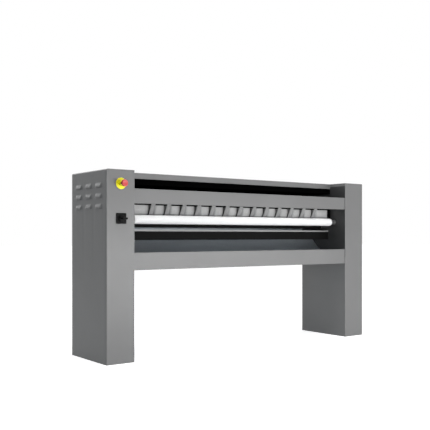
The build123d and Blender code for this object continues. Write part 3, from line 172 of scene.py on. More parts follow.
class Surface:
    """A material with its nodes, built up from shared noise layers in metres."""

    def __init__(self, name, roughness, metallic=0.0, specular=0.5, sheen=0.0):
        self.material = bpy.data.materials.new(name)
        self.material.use_nodes = True
        self.nodes = self.material.node_tree.nodes
        self.links = self.material.node_tree.links
        self.shader = self.nodes["Principled BSDF"]
        self.shader.inputs["Roughness"].default_value = roughness
        self.shader.inputs["Metallic"].default_value = metallic
        self.shader.inputs["Specular IOR Level"].default_value = specular
        self.shader.inputs["Sheen Weight"].default_value = sheen
        self.coordinates = self.nodes.new("ShaderNodeTexCoord")
        self.height = None

    def noise(self, scale, detail=2.0, stretch=(1.0, 1.0, 1.0), uv=False):
        """Noise in object space, or in the piece's own UV metres."""
        mapping = self.nodes.new("ShaderNodeMapping")
        mapping.inputs["Scale"].default_value = stretch
        source = "UV" if uv else "Object"
        self.links.new(self.coordinates.outputs[source], mapping.inputs["Vector"])
        texture = self.nodes.new("ShaderNodeTexNoise")
        texture.inputs["Scale"].default_value = scale
        texture.inputs["Detail"].default_value = detail
        self.links.new(mapping.outputs[0], texture.inputs["Vector"])
        return texture.outputs["Fac"]

    def ramp(self, value, stops):
        """Colour ramp over a value, from (position, colour) stops."""
        node = self.nodes.new("ShaderNodeValToRGB")
        elements = node.color_ramp.elements
        while len(elements) < len(stops):
            elements.new(0.5)
        for element, (position, colour) in zip(elements, stops):
            element.position = position
            element.color = colour
        self.links.new(value, node.inputs["Fac"])
        return node.outputs["Color"]

    def math(self, operation, first, second=None, third=None):
        """One maths node over values or sockets."""
        node = self.nodes.new("ShaderNodeMath")
        node.operation = operation
        for index, value in enumerate((first, second, third)):
            if value is None:
                continue
            if isinstance(value, (int, float)):
                node.inputs[index].default_value = value
            else:
                self.links.new(value, node.inputs[index])
        return node.outputs[0]

    def mix(self, kind, factor, first, second):
        """Mixes two colours."""
        node = self.nodes.new("ShaderNodeMix")
        node.data_type = "RGBA"
        node.blend_type = kind
        for socket, value in ((node.inputs[0], factor), (node.inputs[6], first), (node.inputs[7], second)):
            if isinstance(value, (int, float, tuple)):
                socket.default_value = value
            else:
                self.links.new(value, socket)
        return node.outputs[2]

    def colour(self, socket):
        """Takes the base colour from a socket."""
        self.links.new(socket, self.shader.inputs["Base Color"])

    def roughen(self, value, low, high):
        """Roughness from low to high over a value."""
        node = self.nodes.new("ShaderNodeMapRange")
        node.inputs["To Min"].default_value = low
        node.inputs["To Max"].default_value = high
        self.links.new(value, node.inputs["Value"])
        self.links.new(node.outputs[0], self.shader.inputs["Roughness"])

    def bump(self, value, distance, strength=1.0):
        """Adds a bump layer of this distance in metres."""
        node = self.nodes.new("ShaderNodeBump")
        node.inputs["Distance"].default_value = distance
        node.inputs["Strength"].default_value = strength
        self.links.new(value, node.inputs["Height"])
        if self.height is not None:
            self.links.new(self.height, node.inputs["Normal"])
        self.height = node.outputs["Normal"]
        self.links.new(self.height, self.shader.inputs["Normal"])


def shades(level, spread):
    """Two stops a few levels round one sRGB level, or round a colour."""
    levels = level if isinstance(level, tuple) else (level, level, level)
    low = tuple(value - spread for value in levels)
    high = tuple(value + spread for value in levels)
    return list(zip(SHADE_STOPS, (grey(low), grey(high))))


def coat_finish(surface, roughness):
    """Orange peel and fine grain of a powder coat."""
    surface.roughen(surface.noise(COAT_PATCH_SCALE, 3.0), roughness - 0.04, roughness + 0.05)
    surface.bump(surface.noise(COAT_PEEL_SCALE, 2.0), COAT_PEEL_DEPTH, 0.5)
    surface.bump(surface.noise(COAT_GRAIN_SCALE, 1.0), COAT_GRAIN_DEPTH, 0.4)


def paint(name, level, roughness, spread=2.0, specular=0.5):
    """Powder-coated sheet with faint clouding."""
    surface = Surface(name, roughness, specular=specular)
    surface.colour(surface.ramp(surface.noise(CLOUD_SCALE, 3.0), shades(level, spread)))
    coat_finish(surface, roughness)
    return surface.material


def paint_with_painted_shade(name, low_level, high_level, roughness):
    """Powder coat, painted darker between two heights as the shade inside the machine round the roll."""
    surface = Surface(name, roughness)
    split = surface.nodes.new("ShaderNodeSeparateXYZ")
    surface.links.new(surface.coordinates.outputs["Object"], split.inputs[0])
    # Painted shade: the frame is darker between the two heights
    inside = surface.math(
        "MULTIPLY",
        surface.math("GREATER_THAN", split.outputs["Z"], PAINTED_SHADE_LOW_Z),
        surface.math("LESS_THAN", split.outputs["Z"], PAINTED_SHADE_HIGH_Z),
    )
    cloud = surface.noise(CLOUD_SCALE, 3.0)
    low = surface.ramp(cloud, shades(low_level, 2.0))
    high = surface.ramp(cloud, shades(high_level, 3.0))
    surface.colour(surface.mix("MIX", inside, low, high))
    coat_finish(surface, roughness)
    return surface.material


def metal(name, level, roughness, stretch, spread=10.0):
    """Turned or brushed metal: grain drawn out along one axis."""
    surface = Surface(name, roughness, metallic=1.0)
    grain = surface.noise(METAL_GRAIN_SCALE, 3.0, stretch)
    surface.colour(surface.ramp(grain, shades(level, spread)))
    patches = surface.noise(METAL_PATCH_SCALE, 3.0, stretch)
    surface.roughen(patches, roughness - 0.06, roughness + 0.10)
    surface.bump(grain, METAL_GRAIN_DEPTH, 0.5)
    return surface.material


def cast(name, level, roughness):
    """Cast and enamelled housings: pitted, with clouded tone."""
    surface = Surface(name, roughness, metallic=0.2)
    surface.colour(surface.ramp(surface.noise(CAST_CLOUD_SCALE, 4.0), shades(level, 8.0)))
    surface.roughen(surface.noise(CAST_PATCH_SCALE, 3.0), roughness - 0.08, roughness + 0.12)
    surface.bump(surface.noise(CAST_PIT_SCALE, 4.0), CAST_PIT_DEPTH, 0.6)
    return surface.material


def moulded(name, level, roughness, specular=0.5):
    """Moulded plastic: spark-eroded grain and slight flow marks."""
    surface = Surface(name, roughness, specular=specular)
    surface.colour(surface.ramp(surface.noise(MOULD_CLOUD_SCALE, 3.0), shades(level, 2.5)))
    surface.roughen(surface.noise(MOULD_PATCH_SCALE, 2.0), roughness - 0.05, roughness + 0.07)
    surface.bump(surface.noise(MOULD_GRAIN_SCALE, 1.0), MOULD_GRAIN_DEPTH, 0.5)
    return surface.material


def painted_crease_shade(surface):
    """Painted shade on the cloth, darkest just left of each tape, by where X lies between two tapes."""
    split = surface.nodes.new("ShaderNodeSeparateXYZ")
    surface.links.new(surface.coordinates.outputs["Object"], split.inputs[0])
    first = TAPE_SET_OVER - TAPE_PITCH * (TAPE_COUNT - 1) / 2
    last = first + TAPE_PITCH * (TAPE_COUNT - 1)
    held = surface.math("MAXIMUM", split.outputs["X"], first - PAINTED_SHADE_BEFORE_SHARE * TAPE_PITCH)
    held = surface.math("MINIMUM", held, last + PAINTED_SHADE_AFTER_SHARE * TAPE_PITCH)
    turns = surface.math("DIVIDE", surface.math("SUBTRACT", held, first), TAPE_PITCH)
    share = surface.math("FRACT", surface.math("ADD", turns, 1.0))
    return surface.ramp(share, [(place, grey(tone)) for place, tone in PAINTED_CREASE_SHADES])


def cloth(name, level, pitch, spread=7.0, depth=0.00025, roughness=0.9, sheen=0.25, with_painted_shade=False):
    """Plain weave in UV metres: threads over and under, with slubs and clouding; on the roll, painted shade
    beside the tapes.
    """
    surface = Surface(name, roughness, specular=0.2, sheen=sheen)
    split = surface.nodes.new("ShaderNodeSeparateXYZ")
    surface.links.new(surface.coordinates.outputs["UV"], split.inputs[0])
    turns = 2.0 * pi / pitch
    wave_u = surface.math("SINE", surface.math("MULTIPLY", split.outputs["X"], turns))
    wave_v = surface.math("SINE", surface.math("MULTIPLY", split.outputs["Y"], turns))
    weave = surface.math("MULTIPLY", wave_u, wave_v)
    weave = surface.math("MULTIPLY_ADD", weave, 0.5, 0.5)
    slub = surface.noise(SLUB_SCALE, 3.0, SLUB_STRETCH, uv=True)
    cloud = surface.noise(CLOTH_CLOUD_SCALE, 3.0, uv=True)
    shade = surface.math(
        "ADD",
        surface.math("MULTIPLY", cloud, CLOTH_CLOUD_SHARE),
        surface.math("MULTIPLY", slub, 1.0 - CLOTH_CLOUD_SHARE),
    )
    tone = surface.ramp(shade, shades(level, spread))
    # Painted shade in the creases just left of each tape, multiplied into the cloth's tone
    if with_painted_shade:
        tone = surface.mix("MULTIPLY", 1.0, tone, painted_crease_shade(surface))
    dark = surface.ramp(weave, [(0.0, WEAVE_HOLLOW), (WEAVE_LIGHT_FROM, WHITE)])
    surface.colour(surface.mix("MULTIPLY", 1.0, tone, dark))
    surface.bump(weave, depth, 0.7)
    surface.bump(slub, depth, 0.4)
    return surface.material


# Painted shade of the roll cloth from one tape's middle to the next, darkening towards the next tape's left
# edge, as (share, sRGB level)
PAINTED_CREASE_SHADES = (
    (0.0, 200), (0.12, 200), (0.13, 240), (0.20, 255), (0.50, 250), (0.68, 225), (0.76, 160),
    (0.81, 95), (0.88, 82), (0.90, 200),
)

materials = {
    "grey_paint": paint("grey_powder_coat", 103, 0.42),
    # Inner frames: a darker band painted as shade round the roll
    "inner_paint": paint_with_painted_shade("inner_frame_paint_and_painted_shade", 110, 54, 0.42),
    "shelf_paint": paint("pale_powder_coat", 130, 0.40),
    "satin_steel": metal("satin_stainless", (184, 190, 195), 0.55, (0.05, 1.0, 1.0), spread=5.0),
    "black_paint": paint("black_matt_coat", 6, 0.75, spread=1.0, specular=0.1),
    # Heat shield: black paint taken down to almost no light and no gloss, partly painted shade of the deep
    # gap above the upper rail
    "shield_black": paint("heat_shield_black_and_painted_shade", 4, 0.9, spread=1.0, specular=0.0),
    "machine_steel": metal("turned_steel", 140, 0.48, (0.08, 1.0, 1.0)),
    "dark_steel": metal("blackened_steel", 40, 0.50, (0.08, 1.0, 1.0), spread=6.0),
    "cast_metal": cast("cast_housing", 92, 0.50),
    "motor_paint": cast("motor_enamel", (58, 66, 78), 0.46),
    "polished_chest": metal("polished_chest", 178, 0.20, (0.04, 1.0, 1.0), spread=6.0),
    # Roll cloth with painted shade darkening it just left of each tape
    "roll_cloth": cloth("roll_cloth", 174, 0.0024, with_painted_shade=True),
    "tape_cloth": cloth("tape_webbing", 150, 0.0018),
    "white_cloth": cloth("white_sleeve", 241, 0.0016, spread=2.0, depth=0.00008, roughness=0.45, sheen=0.1),
    "insulation_wool": cloth("mineral_wool", (176, 166, 120), 0.004),
    "heater_sheath": metal("heater_sheath", 96, 0.42, (0.08, 1.0, 1.0)),
    "bush_bronze": metal("bronze_bush", (186, 148, 96), 0.34, (1.0, 1.0, 1.0)),
    "actuator_metal": metal("drawn_aluminium", 186, 0.36, (1.0, 0.2, 0.2)),
    "black_plastic": moulded("black_moulding", 5, 0.55, specular=0.1),
    "terminal_plastic": moulded("terminal_moulding", (176, 178, 164), 0.5),
    "warning_yellow": moulded("yellow_moulding", (240, 232, 10), 0.38),
    "stem_plastic": moulded("grey_moulding", 62, 0.45),
    "signal_red": moulded("red_moulding", (202, 58, 58), 0.30),
    "belt_rubber": cast("belt_rubber", 30, 0.75),
}

slot_of = {entry["node"]: entry["material_slot"] for entry in frame["record"]["subparts"]}
for node, slot in slot_of.items():
    mesh = frame["nodes"][node].data
    mesh.materials.clear()
    mesh.materials.append(materials[slot])


def make_piece(name, builder, body, slot, stands_for=(), sharp=35.0):
    """Turns a finished bmesh into a piece that rides on a body."""
    mesh = bpy.data.meshes.new(name)
    bmesh.ops.recalc_face_normals(builder, faces=builder.faces)
    builder.to_mesh(mesh)
    builder.free()
    mesh.materials.append(materials[slot])
    mesh.polygons.foreach_set("use_smooth", [True] * len(mesh.polygons))
    mesh.set_sharp_from_angle(angle=radians(sharp))
    piece = bpy.data.objects.new(name, mesh)
    bpy.context.scene.collection.objects.link(piece)
    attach(piece, body)
    if stands_for:
        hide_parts(*stands_for)
    return piece


def bridge_rings(builder, rings, closed=False, uv=None):
    """Quads between rings of vertices; uv gives (u, v) for a ring and a place in it."""
    layer = builder.loops.layers.uv.verify()
    pairs = list(zip(range(len(rings) - 1), range(1, len(rings))))
    if closed:
        pairs.append((len(rings) - 1, 0))
    count = len(rings[0])
    for first, second in pairs:
        second_place = second if second > first else first + 1
        for index in range(count):
            after = (index + 1) % count
            corners = (
                (rings[first][index], first, index),
                (rings[first][after], first, index + 1),
                (rings[second][after], second_place, index + 1),
                (rings[second][index], second_place, index),
            )
            face = builder.faces.new([corner[0] for corner in corners])
            if uv:
                for loop, (_, ring, place) in zip(face.loops, corners):
                    loop[layer].uv = uv(ring, place)


def lathe(name, outline, axis, body, slot, stands_for=(), segments=96, centre=(0.0, 0.0), wobble=None):
    """Turns an outline of (along, radius) points round an axis parallel to X or Y."""
    builder = bmesh.new()
    along_run = [0.0]
    for (a0, r0), (a1, r1) in zip(outline, outline[1:]):
        along_run.append(along_run[-1] + hypot(a1 - a0, r1 - r0))
    mean_radius = max(radius for _, radius in outline)
    rings = []
    for along, radius in outline:
        ring = []
        for index in range(segments):
            angle = 2.0 * pi * index / segments
            reach = radius + (wobble(along, angle, radius) if wobble else 0.0)
            first, second = reach * cos(angle), reach * sin(angle)
            if axis == "X":
                place = (along, centre[0] + first, centre[1] + second)
            else:
                place = (centre[0] + first, along, centre[1] + second)
            ring.append(builder.verts.new(place))
        rings.append(ring)
    bridge_rings(
        builder,
        rings,
        uv=lambda ring, place: (along_run[ring], 2.0 * pi * mean_radius * place / segments),
    )
    bmesh.ops.remove_doubles(builder, verts=builder.verts, dist=MERGE_DISTANCE)
    return make_piece(name, builder, body, slot, stands_for)


def arc_points(centre, radius, start, end, steps):
    """Points of a circle's arc from one angle in degrees to another."""
    return [
        (
            centre[0] + radius * cos(radians(start + (end - start) * step / steps)),
            centre[1] + radius * sin(radians(start + (end - start) * step / steps)),
        )
        for step in range(steps + 1)
    ]


def smooth_step(value):
    """Eases a value from 0 to 1, held at both ends."""
    value = min(max(value, 0.0), 1.0)
    return value * value * (3.0 - 2.0 * value)


def middle_and_size(node):
    """Middle and size of a CAD node's box at rest."""
    low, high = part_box(node)
    return (
        [(first + second) / 2 for first, second in zip(low, high)],
        [second - first for first, second in zip(low, high)],
    )


def grid_lines(low, high, spans, inner_steps, outer_steps):
    """Grid places from low to high, with finer steps inside the louvres' spans."""
    places, place = [], low
    for start, end in spans:
        places += [place + (start - place) * step / outer_steps for step in range(outer_steps)]
        places += [start + (end - start) * step / inner_steps for step in range(inner_steps)]
        place = end
    places += [place + (high - place) * step / outer_steps for step in range(outer_steps + 1)]
    return places


def fall(reach, flat, end):
    """1 up to flat, 0 from end on, smooth between."""
    return 1.0 - smooth_step((reach - flat) / (end - flat))


def rounded_outline(half_width, half_height, corner, steps=6):
    """Corners of a rounded rectangle round the origin, going round once."""
    points = []
    for quarter, (side_x, side_z) in enumerate(((1, 1), (-1, 1), (-1, -1), (1, -1))):
        centre = (side_x * (half_width - corner), side_z * (half_height - corner))
        points += arc_points(centre, corner, 90.0 * quarter, 90.0 * quarter + 90.0, steps)
    return points


def prism(name, outline_at, layers, centre, body, slot, stands_for):
    """Stacks outlines along Y; each layer is (y, inset) and outline_at(inset) gives its outline."""
    builder = bmesh.new()
    rings = [
        [builder.verts.new((centre[0] + x, y, centre[1] + z)) for x, z in outline_at(inset)]
        for y, inset in layers
    ]
    bridge_rings(builder, rings)
    builder.faces.new(rings[0])
    builder.faces.new(list(reversed(rings[-1])))
    return make_piece(name, builder, body, slot, stands_for)


def loose_boxes(node):
    """Boxes of a node's separate solids, from the connected parts of its mesh."""
    source = bmesh.new()
    source.from_mesh(frame["nodes"][node].data)
    bmesh.ops.remove_doubles(source, verts=source.verts, dist=SOLID_MERGE_DISTANCE)
    unseen, boxes = set(source.verts), []
    while unseen:
        stack, part = [unseen.pop()], []
        while stack:
            vertex = stack.pop()
            part.append(vertex.co.copy())
            for edge in vertex.link_edges:
                other = edge.other_vert(vertex)
                if other in unseen:
                    unseen.discard(other)
                    stack.append(other)
        boxes.append([(min(c[axis] for c in part), max(c[axis] for c in part)) for axis in range(3)])
    source.free()
    return boxes


def stepped(front, rim, profile):
    """Points of a profile given as (depth behind the front, step in from the rim)."""
    return [(front + depth, rim - step_in) for depth, step_in in profile]


def knurl(teeth, from_radius):
    """A wobble that cuts teeth into a turned piece where it is wider than a radius."""

    def wobble(along, angle, radius):
        return -KNURL_DEPTH * (0.5 + 0.5 * sin(teeth * angle)) if radius > from_radius else 0.0

    return wobble


# Roll cover: cloth that bulges between the tapes, with pulled folds at their edges
TAPE_RIGHT_GAP, TAPE_LEFT_GAP = 0.001, 0.006
RIGHT_CREASE = TAPE_WIDTH / 2 + TAPE_RIGHT_GAP
LEFT_CREASE = TAPE_WIDTH / 2 + TAPE_LEFT_GAP
BULGE_WIDTH = TAPE_PITCH - LEFT_CREASE - RIGHT_CREASE
BULGE_PEAK = 0.3
BULGE_RISE_POWER, BULGE_FALL_POWER, BULGE_ROUND_POWER = 3.3, 2.2, 0.8
NOTCH_DEPTH = 0.004
ROLL_END_ROUND, ROLL_END_DEPTH, ROLL_END_INSET = 0.005, 0.012, 0.006
ROLL_SAMPLES, ROLL_SEGMENTS = 760, 160

# Folds: their stretch beside a tape and their depth in metres, their waves in a turn, and how each
# tape and side shifts them, in radians
FOLD_START, FOLD_END, FOLD_DEPTH, FOLD_MARGIN = 0.006, 0.034, 0.0007, 0.004
SWELL_START, SWELL_DEPTH = 0.02, 0.0004
PULL_WAVES, FINE_PULL_WAVES, PULL_SHARE, PULL_SLANT = 17.0, 29.0, 0.6, 40.0
SWELL_WAVES, FINE_SWELL_WAVES = 3.0, 5.0
TAPE_SHIFT, SIDE_SHIFT, FINE_PULL_SHIFT, FINE_SWELL_SHIFT = 2.1, 0.7, 2.3, 1.7

tape_centres = [
    TAPE_SET_OVER + TAPE_PITCH * (index - (TAPE_COUNT - 1) / 2) for index in range(TAPE_COUNT)
]


def bulge_share(x):
    """Where x lies along its bulge, from 0 at the left crease to 1 at the right one."""
    first_left = tape_centres[0] - LEFT_CREASE
    last_right = tape_centres[-1] + RIGHT_CREASE
    if x < first_left:
        return max(1.0 - (first_left - x) / BULGE_WIDTH, BULGE_PEAK)
    if x > last_right:
        return min((x - last_right) / BULGE_WIDTH, BULGE_PEAK)
    left = max([centre for centre in tape_centres if centre <= x], default=tape_centres[0] - TAPE_PITCH)
    return (x - left - RIGHT_CREASE) / BULGE_WIDTH


def bulge_lift(share):
    """Height of a bulge as a share: a steep left side, and a long fall to its right."""
    if share <= 0.0 or share >= 1.0:
        return 0.0
    if share < BULGE_PEAK:
        return 1.0 - (1.0 - share / BULGE_PEAK) ** BULGE_RISE_POWER
    past_peak = (share - BULGE_PEAK) / (1.0 - BULGE_PEAK)
    return (1.0 - past_peak ** BULGE_FALL_POWER) ** BULGE_ROUND_POWER


def roll_profile(x):
    """Radius of the roll cover at x: bulges between the tapes, with a notch on each tape's left."""
    share = bulge_share(x)
    notch = 0.0
    if share > 1.0:
        past = (share - 1.0) * BULGE_WIDTH / (LEFT_CREASE - TAPE_WIDTH / 2)
        notch = NOTCH_DEPTH * sin(pi * past) if past < 1.0 else 0.0
    return CREASE_RADIUS + (ROLL_RADIUS - CREASE_RADIUS) * bulge_lift(share) - notch


def roll_folds(x, angle, radius):
    """Small folds and pulls of the cloth, strongest beside the tapes."""
    if radius < TUBE_RADIUS + FOLD_MARGIN or abs(x) > ROLL_HALF - FOLD_MARGIN:
        return 0.0
    share = bulge_share(x)
    if share <= 0.0 or share >= 1.0:
        return 0.0
    nearest = min(range(TAPE_COUNT), key=lambda index: abs(x - tape_centres[index]))
    side = 1.0 if x > tape_centres[nearest] else -1.0
    seed = nearest * TAPE_SHIFT + side * SIDE_SHIFT
    reach = min(share, 1.0 - share) * BULGE_WIDTH
    near = max(0.0, 1.0 - reach / FOLD_END) * smooth_step(reach / FOLD_START)
    pull = sin(PULL_WAVES * angle + seed + PULL_SLANT * reach * side)
    fine_pull = sin(FINE_PULL_WAVES * angle + FINE_PULL_SHIFT * seed)
    pulls = pull * PULL_SHARE + fine_pull * (1.0 - PULL_SHARE)
    swell = sin(SWELL_WAVES * angle + seed) * 0.5
    swell += sin(FINE_SWELL_WAVES * angle - FINE_SWELL_SHIFT * seed) * 0.5
    fold = -FOLD_DEPTH * near * (0.5 + 0.5 * pulls)
    return fold + SWELL_DEPTH * smooth_step(reach / SWELL_START) * (swell - 1.0)


roll_outline = [(-ROLL_HALF, TUBE_RADIUS), (-ROLL_HALF, ROLL_RADIUS - ROLL_END_DEPTH)]
for angle in range(0, 90, 18):
    roll_outline.append(
        (
            -ROLL_HALF + ROLL_END_ROUND - ROLL_END_ROUND * cos(radians(angle)),
            ROLL_RADIUS - ROLL_END_ROUND + ROLL_END_ROUND * sin(radians(angle)),
        )
    )
for step in range(ROLL_SAMPLES + 1):
    x = -ROLL_HALF + ROLL_END_INSET + 2 * (ROLL_HALF - ROLL_END_INSET) * step / ROLL_SAMPLES
    roll_outline.append((x, roll_profile(x)))
for angle in range(18, 91, 18):
    roll_outline.append(
        (
            ROLL_HALF - ROLL_END_ROUND + ROLL_END_ROUND * sin(radians(angle)),
            ROLL_RADIUS - ROLL_END_ROUND + ROLL_END_ROUND * cos(radians(angle)),
        )
    )
roll_outline += [
    (ROLL_HALF, ROLL_RADIUS - ROLL_END_DEPTH), (ROLL_HALF, TUBE_RADIUS), (-ROLL_HALF, TUBE_RADIUS),
]
roll_cover = lathe(
    "roll_cover", roll_outline, "X", "roll", "roll_cloth", ("roll_padding",),
    segments=ROLL_SEGMENTS, centre=(ROLL_Y, ROLL_Z), wobble=roll_folds,
)

# Guide tapes: flat woven loops over the roll's creases and the tape roller
TAPE_CLEARANCE = 0.0003
ROLL_STEPS, STRAIGHT_STEPS, TAPE_ROLLER_STEPS = 96, 12, 16
TAPE_EDGE_WIDTH, TAPE_EDGE_SHARE, TAPE_MIDDLE_HALF = 0.0006, 0.4, 0.0045


def wrap_points(centre, radius, first_angle, turn, steps):
    """Arc round a roller in (y, z), as (point, outward normal) pairs."""
    points = []
    for step in range(steps + 1):
        angle = first_angle + turn * step / steps
        place = (centre[0] + radius * cos(angle), centre[1] + radius * sin(angle))
        points.append((place, (cos(angle), sin(angle))))
    return points


def straight_points(first, second):
    """Points between two ends, without them, as (point, outward normal) pairs."""
    (start, normal), (finish, _) = first, second
    points = []
    for step in range(1, STRAIGHT_STEPS):
        share = step / STRAIGHT_STEPS
        place = (start[0] + (finish[0] - start[0]) * share, start[1] + (finish[1] - start[1]) * share)
        points.append((place, normal))
    return points


def tape_path(offset):
    """Closed line of the tape's middle in (y, z), as (point, outward normal) pairs."""
    big = CREASE_RADIUS + TAPE_CLEARANCE + offset
    small = TAPE_ROLLER_RADIUS + TAPE_CLEARANCE + offset
    along = (TAPE_ROLLER_Y - ROLL_Y, TAPE_ROLLER_Z - ROLL_Z)
    heading = atan2(along[1], along[0])
    lean = acos((big - small) / hypot(*along))
    roll_arc = wrap_points((ROLL_Y, ROLL_Z), big, heading + lean, 2.0 * pi - 2.0 * lean, ROLL_STEPS)
    roller_arc = wrap_points(
        (TAPE_ROLLER_Y, TAPE_ROLLER_Z), small, heading - lean, 2.0 * lean, TAPE_ROLLER_STEPS
    )
    there = straight_points(roll_arc[-1], roller_arc[0])
    back = straight_points(roller_arc[-1], roll_arc[0])
    return roll_arc + there + roller_arc + back


tape_line = tape_path(TAPE_THICKNESS / 2)
half_w, half_t = TAPE_WIDTH / 2, TAPE_THICKNESS / 2
tape_section = [
    (-half_w, -half_t * TAPE_EDGE_SHARE), (-half_w + TAPE_EDGE_WIDTH, -half_t),
    (-TAPE_MIDDLE_HALF, -half_t), (TAPE_MIDDLE_HALF, -half_t),
    (half_w - TAPE_EDGE_WIDTH, -half_t), (half_w, -half_t * TAPE_EDGE_SHARE),
    (half_w, half_t * TAPE_EDGE_SHARE), (half_w - TAPE_EDGE_WIDTH, half_t),
    (TAPE_MIDDLE_HALF, half_t), (-TAPE_MIDDLE_HALF, half_t),
    (-half_w + TAPE_EDGE_WIDTH, half_t), (-half_w, half_t * TAPE_EDGE_SHARE),
]
for number, tape_x in enumerate(tape_centres):
    builder = bmesh.new()
    rings, runs, run = [], [0.0], 0.0
    for index, ((y, z), (ny, nz)) in enumerate(tape_line):
        rings.append(
            [builder.verts.new((tape_x + across, y + ny * out, z + nz * out)) for across, out in tape_section]
        )
        (next_y, next_z), _ = tape_line[(index + 1) % len(tape_line)]
        run += hypot(next_y - y, next_z - z)
        runs.append(run)
    around = [across for across, _ in tape_section] + [tape_section[0][0]]
    bridge_rings(builder, rings, closed=True, uv=lambda ring, place: (around[place], runs[ring]))
    tape = make_piece(f"guide_tape_{number + 1:02d}", builder, "frame", "tape_cloth", ("guide_tapes",))

# Feed roller: white sleeve with rolled ends
SLEEVE_INNER_RADIUS, SLEEVE_ROUND = 0.02005, 0.0057
SLEEVE_INSET, SLEEVE_STEPS = 0.02, 40
sleeve_outline = [(-FEED_HALF, SLEEVE_INNER_RADIUS)]
for angle in range(0, 91, 15):
    sleeve_outline.append(
        (
            -FEED_HALF + SLEEVE_ROUND - SLEEVE_ROUND * cos(radians(angle)),
            FEED_RADIUS - SLEEVE_ROUND + SLEEVE_ROUND * sin(radians(angle)),
        )
    )
for step in range(SLEEVE_STEPS + 1):
    x = -FEED_HALF + SLEEVE_INSET + 2 * (FEED_HALF - SLEEVE_INSET) * step / SLEEVE_STEPS
    sleeve_outline.append((x, FEED_RADIUS))
for angle in range(0, 91, 15):
    sleeve_outline.append(
        (
            FEED_HALF - SLEEVE_ROUND + SLEEVE_ROUND * sin(radians(angle)),
            FEED_RADIUS - SLEEVE_ROUND + SLEEVE_ROUND * cos(radians(angle)),
        )
    )
sleeve_outline += [(FEED_HALF, SLEEVE_INNER_RADIUS), (-FEED_HALF, SLEEVE_INNER_RADIUS)]
sleeve = lathe(
    "feed_roller_sleeve", sleeve_outline, "X", "feed_roller", "white_cloth", ("feed_roller_cover",),
    segments=96, centre=(FEED_Y, FEED_Z),
)

# Left side panel: pressed louvres as smooth hoods, open below
SKIN_THICKNESS, NOSE_EASE = 0.002, 0.004
HOOD_STEPS_Y, HOOD_STEPS_Z, FLAT_STEPS = 28, 14, 2
SAME_PLACE, FLUSH_HEIGHT = 1e-9, 1e-6
panel_low, panel_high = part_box("left_side_panel")
outer_x = panel_high[0] - SKIN_THICKNESS
hood_y = []
for column in range(LOUVRE_COLUMNS):
    hood_middle = LOUVRE_FIRST_Y + column * LOUVRE_PITCH_Y
    hood_y.append((hood_middle - LOUVRE_WIDTH / 2, hood_middle + LOUVRE_WIDTH / 2))
hood_z = []
for row in range(LOUVRE_ROWS):
    hood_low = LOUVRE_LOW_Z + row * LOUVRE_PITCH_Z
    hood_z.append((hood_low, hood_low + LOUVRE_HEIGHT))
lines_y = grid_lines(panel_low[1], panel_high[1], hood_y, HOOD_STEPS_Y, FLAT_STEPS)
lines_z = grid_lines(panel_low[2], panel_high[2], hood_z, HOOD_STEPS_Z, FLAT_STEPS)


def hood_height(y, z):
    """How far a louvre's hood stands out at a place of the panel."""
    for y_low, y_high in hood_y:
        for z_low, z_high in hood_z:
            if y_low <= y <= y_high and z_low <= z <= z_high:
                beside = abs(y - (y_low + y_high) / 2)
                across = fall(beside, LOUVRE_NOSE_WIDTH / 2 - NOSE_EASE, LOUVRE_WIDTH / 2)
                up = fall(z - z_low, LOUVRE_NOSE_HEIGHT, LOUVRE_HEIGHT)
                return LOUVRE_DEPTH * across * up
    return 0.0


louvre_builder = bmesh.new()
grid = {}


def panel_vertex(index, row, skin, lifted):
    """Vertex of the outer or inner skin; at a hood's lower edge, lifted or flat."""
    y, z = lines_y[index], lines_z[row]
    height = hood_height(y, z)
    edge = any(abs(z - z_low) < SAME_PLACE for z_low, _ in hood_z) and height > FLUSH_HEIGHT
    key = (index, row, skin, lifted if edge else False)
    if key not in grid:
        out = height if (lifted or not edge) else 0.0
        grid[key] = louvre_builder.verts.new((outer_x - out + SKIN_THICKNESS * skin, y, z))
    return grid[key]


for index in range(len(lines_y) - 1):
    for row in range(len(lines_z) - 1):
        for skin in (0, 1):
            corners = (
                panel_vertex(index, row, skin, True),
                panel_vertex(index + 1, row, skin, True),
                panel_vertex(index + 1, row + 1, skin, False),
                panel_vertex(index, row + 1, skin, False),
            )
            louvre_builder.faces.new(corners)
open_edges = [edge for edge in louvre_builder.edges if edge.is_boundary]
partner = {}
for (index, row, skin, lifted), vertex in grid.items():
    partner[vertex] = grid[(index, row, 1 - skin, lifted)]
for edge in open_edges:
    first, second = edge.verts
    if first.co.x < partner[first].co.x:
        louvre_builder.faces.new((first, second, partner[second], partner[first]))
make_piece("left_side_skin", louvre_builder, "frame", "grey_paint", ("left_side_panel",), sharp=40.0)

# Emergency stop: disc with a turned groove, knurled collar, dished mushroom head. Each profile is
# (depth behind the front, step in from the rim), in metres; the foot's and underside's run forwards
DISC_BORE_RADIUS = 0.0115
DISC_FACE = (
    (0.0007, 0.0), (0.0002, 0.0002), (0.0, 0.0007), (0.0, 0.0040), (0.0004, 0.0044), (0.0004, 0.0052),
    (0.0, 0.0056),
)
COLLAR_BORE_RADIUS, COLLAR_NECK_RADIUS = 0.0081, 0.0110
COLLAR_FOOT = ((0.0, 0.0004), (-0.0006, 0.0))
COLLAR_FRONT = ((0.0012, 0.0), (0.0003, 0.0004), (0.0, 0.0012))
COLLAR_TEETH, COLLAR_KNURL_RADIUS, KNURL_DEPTH = 36, 0.0139, 0.0004
HEAD_SOCKET_RADIUS, HEAD_SOCKET_DEPTH = 0.00505, 0.008
HEAD_UNDERSIDE = ((0.0, 0.0045), (-0.0015, 0.0028), (-0.0035, 0.0008), (-0.0050, 0.0))
HEAD_ROUND, HEAD_ROUND_STEPS = 0.006, 10
HEAD_DISH = ((0.0002, 0.0075), (0.0008, 0.0100))
DISH_FLAT_SHARE, DISH_FLAT_DEPTH, DISH_MIDDLE_DEPTH = 0.3, 0.0012, 0.0013
KNURLED_SEGMENTS = 144

